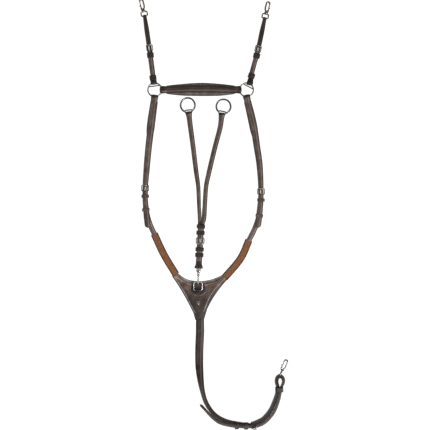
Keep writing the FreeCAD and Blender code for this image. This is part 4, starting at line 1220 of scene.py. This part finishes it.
LINING_EDGE = ((-69, 55.5), [((-46, 37), (-22.5, 28.5)), ((-1.5, 26.5), (19.5, 28.5)), ((48, 36), (75, 49.5)),
               (88, 36), ((50.5, -10), (23, -58)), (13.4, -90.5), (-12.4, -90.5), (-18.5, -69),
               ((-52, -6), (-83, 41))])
FACE_EDGE = ((-67, 49), [((-45, 28.5), (-22.5, 20.5)), ((-1.5, 18.5), (19.5, 20.5)), ((48, 27), (74, 42)),
             (84.5, 36), ((48, -11), (20.5, -59)), (11.5, -88.5), (-10.5, -88.5), (-16, -68),
             ((-49.5, -5), (-79.5, 40.5))])
PIPING_LINES = [[(-75, 40), (-45.5, -7), (-13, -68)], [(76.5, 36.5), (35, -12.5), (12.3, -64)]]
DEE_PATCH = ((-24, 17), [((-4, 21), (16, 17)), (17, -3), ((13, -10.5), (5, -11)), (-13, -11),
             ((-21, -10.5), (-25, -3))])
DEE_CHAPE = ((-12.5, -1), [(3.5, -1), (3.5, -9), ((-4.5, -12), (-12.5, -9))])


def chest():
    """The chest plate: padded lining, face with its piping, the dee's sewn patch and the stud."""
    skin = Skin()
    plate(skin, LINING_EDGE, 0.0, 2.5, 0.0)
    lining = skin.piece("chest_pad", PADS, "chest", "lining_leather", "chest_lining")

    skin = Skin()
    line = plate(skin, FACE_EDGE, 2.5, 6.4, 0.5, wrinkle=0.22)
    sewn_line(skin, inner_line(line, 1.7), 6.0)
    skin.piece("chest_front", laid(CHEST_GRAIN), "chest", "bridle_leather", "chest_face")

    skin = Skin()
    # The piping beads, paler than the face: partly a painted highlight along their crests.
    for points in PIPING_LINES:
        skin.add(*tube(spline([(x, y, 6.3) for x, y in points], 1.5), 0.95), 0)
    skin.piece("chest_beading", [HIGHLIGHT_PIPING], "chest", "piping_leather", "chest_piping")

    skin = Skin()
    plate(skin, DEE_PATCH, 6.0, 7.3, 0.1, edge_spacing=1.2, spacing=2.0)
    line = plate(skin, DEE_CHAPE, 7.2, 8.6, 0.3, edge_spacing=0.9, spacing=1.6)
    sewn_line(skin, inner_line(line, 1.8), 8.4)
    collar = lathe([(2.35, -8), (3.6, -8), (4.0, -7.4), (4.0, 7.4), (3.6, 8), (2.35, 8)])
    skin.add(*exchanged(collar, [1, 0, 2], (-4.5, -0.8, 10.6)), FACE)
    # A raised ridge round the lower half of the dee's patch, in pale leather: its paleness is a painted
    # highlight along the ridge.
    rim = [(25.5 * math.cos(a) - 3.5, 25 * math.sin(a) + 8.5, 6.4) for a in np.linspace(3.2, 6.22, 60)]
    skin.add(*tube(rim, np.interp(np.linspace(0, 1, 60), [0, 0.2, 0.8, 1], [0.4, 1.9, 1.9, 0.4])), DARK)
    skin.piece("dee_patch", [*DARK_LEATHERS[:DARK], PALE_GRAIN], "chest", "bridle_leather", "dee_chape")

    skin = Skin()
    skin.add(*ball((-3.6, -40, 6.0), (5.4, 8.2, 1.9)), 0)
    skin.add(*ball((-3.6, -41, 7.4), (2.2, 2.2, 1.3)), 1)
    # A pale arc over the stud's dome: a painted highlight.
    arc = [(5.2 * math.cos(a) - 3.6, 6.5 * math.sin(a) - 40.5, 6.9) for a in np.linspace(0.3, 2.84, 24)]
    skin.add(*tube(arc, 0.95), 2)
    skin.piece("stud", [GRAIN, DEE_STEEL, HIGHLIGHT_PIPING], "chest", "steel", "chest_stud")


# ---------------------------------------------------------------- the girth strap


def leaned(plan, thick, raised=0.0):
    """Rows of the girth strap. A strap on its edge stands higher, so that its lower edge stays up."""
    rows = []
    for x, y, lean, width in plan:
        a = math.radians(lean)
        z = (22 * math.sin(a) + thick * math.cos(a)) / 2 + GIRTH_LIFT * math.sin(a) + raised * math.cos(a)
        rows.append((x, y, z, lean, width, thick))
    return rows


def heel_fold(skin, origin, ways, low, high):
    """One side of the strap's turn round its buckle's heel bar, from low to high across it."""
    turn = np.radians(np.arange(-100, 101, 20))
    outline = [(2.6 * math.cos(a), 2.6 * math.sin(a)) for a in turn]
    outline += [(1.45 * math.cos(a), 1.45 * math.sin(a)) for a in turn[::-1]]
    near = np.array([(low, y, z) for y, z in outline])
    n = len(outline)
    faces = [(i, n + i, n + (i + 1) % n, (i + 1) % n) for i in range(n)]
    ends = [(k, k + 1, n - 2 - k, n - 1 - k) for k in range(len(turn) - 1)]
    faces += ends + [tuple(n + i for i in quad[::-1]) for quad in ends]
    skin.add(np.vstack([near, near + (high - low, 0, 0)]) @ ways + origin, faces, SIDE)


def girth():
    """The strap to the girth: its buckle, the billet that turns round the hook's eye, and the hook."""
    place, ways = heel = joint_frame("girth_tongue_lift")
    rows = spline(leaned(GIRTH_MAIN, 4.0), STEP)
    main = strap("girth_strap_leather", rows, None, ["girth_strap"], GIRTH_LEATHERS, crown=0.9,
                 sewn=[(20, travelled(rows)[-1] - 12)], ripple=(150, 420, 0.16, 5.2))
    x, y, _ = joints["girth_fold"]["pos_m"]
    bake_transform(main)
    skin = Skin()
    for low, high in ((-11, -2.1), (2.1, 11)):
        heel_fold(skin, place, ways, low, high)
    skin.piece("girth_heel_fold", DARK_LEATHERS, "girth", "bridle_leather", "girth_strap")

    rows = leaned(GIRTH_BILLET[::-1], 2.5, GIRTH_STACK)
    rows = spline([(x, y, z, -lean, *size) for x, y, z, lean, *size in rows], STEP)
    strap("girth_billet_leather", rows, "girth", ["girth_billet"], GIRTH_LEATHERS, crown=0.9, tip=(9, 2.2),
          slots=[tongue_slot(rows, place, ways[1])], ripple=(170, 330, 0.14, 5.0))

    skin = Skin()
    for back in (13, 41):
        keeper(skin, (place - ways[2] * 3.2 - ways[1] * back, ways), 13.0, 1.0, 10.2, 12.0)
    keeper(skin, plane_frame(238.4, -296, 0, 16.8), 10.6, -10.2, 10.4, 14.0)
    skin.piece("girth_keepers_leather", DARK_LEATHERS, "girth", "bridle_leather", "girth_keepers")
    buckle("girth", heel, 22, ("girth", "girth_tongue"))

    x, y, _ = place_of("girth_eye_swing")
    lean = math.radians(23)
    at = frame_along(np.array([x, y, GIRTH_EYE_HEIGHT]), (math.sin(lean), math.cos(lean), 0))
    stem = tube([(0, y, 0) for y in np.linspace(12.5, 18.6, 8)], 2.0, around=20)
    cap = ball((0, 18.4, 0), (2.2, 0.7, 2.2))
    cast("girth_eye_steel", [eye_shell(90), stem, cap], 0.4, at, "girth_eye", "girth_eye")
    cast("girth_hook_steel", hook_shells(True), 0.42, at, "girth_hook", "girth_hook")
    cast("girth_gate_steel", gate_shells(), 0.38, at, "girth_gate", "girth_gate")


# ---------------------------------------------------------------- the whole


for side in ("left", "right"):
    shoulder(side)
    saddle(side)
wither()
fork()
chest()
girth()

for name, piece in frame["nodes"].items():
    if not piece.hide_render:
        piece.data.materials.clear()
        piece.data.materials.append(DEE_STEEL if name == "chest_dee" else STEEL)


# ---------------------------------------------------------------- studio


def soft_light(name, place, target, size, watts):
    lamp = bpy.data.lights.new(name, "AREA")
    lamp.shape = "RECTANGLE"
    lamp.size, lamp.size_y = size
    lamp.energy = watts
    holder = bpy.data.objects.new(name, lamp)
    holder.location = place
    holder.rotation_euler = (Vector(target) - Vector(place)).to_track_quat("-Z", "Y").to_euler()
    bpy.context.scene.collection.objects.link(holder)


CENTRE = (0.0465, 0.225, 0.0)
soft_light("key", (1.5, -1.2, 2.8), CENTRE, (1.1, 1.1), 120)
soft_light("rim", (-1.6, 1.2, 1.6), CENTRE, (0.9, 0.9), 14)

world = bpy.data.worlds.new("studio")
world.use_nodes = True
background = next(n for n in world.node_tree.nodes if n.type == "BACKGROUND")
upward = split(world.node_tree, node(world.node_tree, "TexCoord", "Generated"), "Z")
greys = [(share, scaled(WHITE, grey)) for share, grey in ((0.0, 0.08), (0.55, 0.22), (1.0, 0.4))]
sky = ramp(world.node_tree, upward, *greys)
world.node_tree.links.new(sky, background.inputs["Color"])
bpy.context.scene.world = world

floor_material, *_ = shader("paper", scaled(WHITE, 0.2), 0.9, Emission_Color=(1, 1, 1, 1),
                            Emission_Strength=0.95)
floor_mesh = bpy.data.meshes.new("floor")
reach, level = 6.0, -0.0006
corners = [(x * reach, y * reach, level) for x, y in ((-1, -1), (1, -1), (1, 1), (-1, 1))]
floor_mesh.from_pydata(corners, [], [(0, 1, 2, 3)])
floor_mesh.materials.append(floor_material)
floor = bpy.data.objects.new("floor", floor_mesh)
bpy.context.scene.collection.objects.link(floor)

camera = bpy.data.cameras.new("camera")
camera.lens = 100
camera.sensor_width = 36
camera.clip_end = 30
holder = bpy.data.objects.new("camera", camera)
holder.location = (CENTRE[0], CENTRE[1], 3.583)
bpy.context.scene.collection.objects.link(holder)
bpy.context.scene.camera = holder
bpy.context.scene.view_settings.view_transform = "Standard"
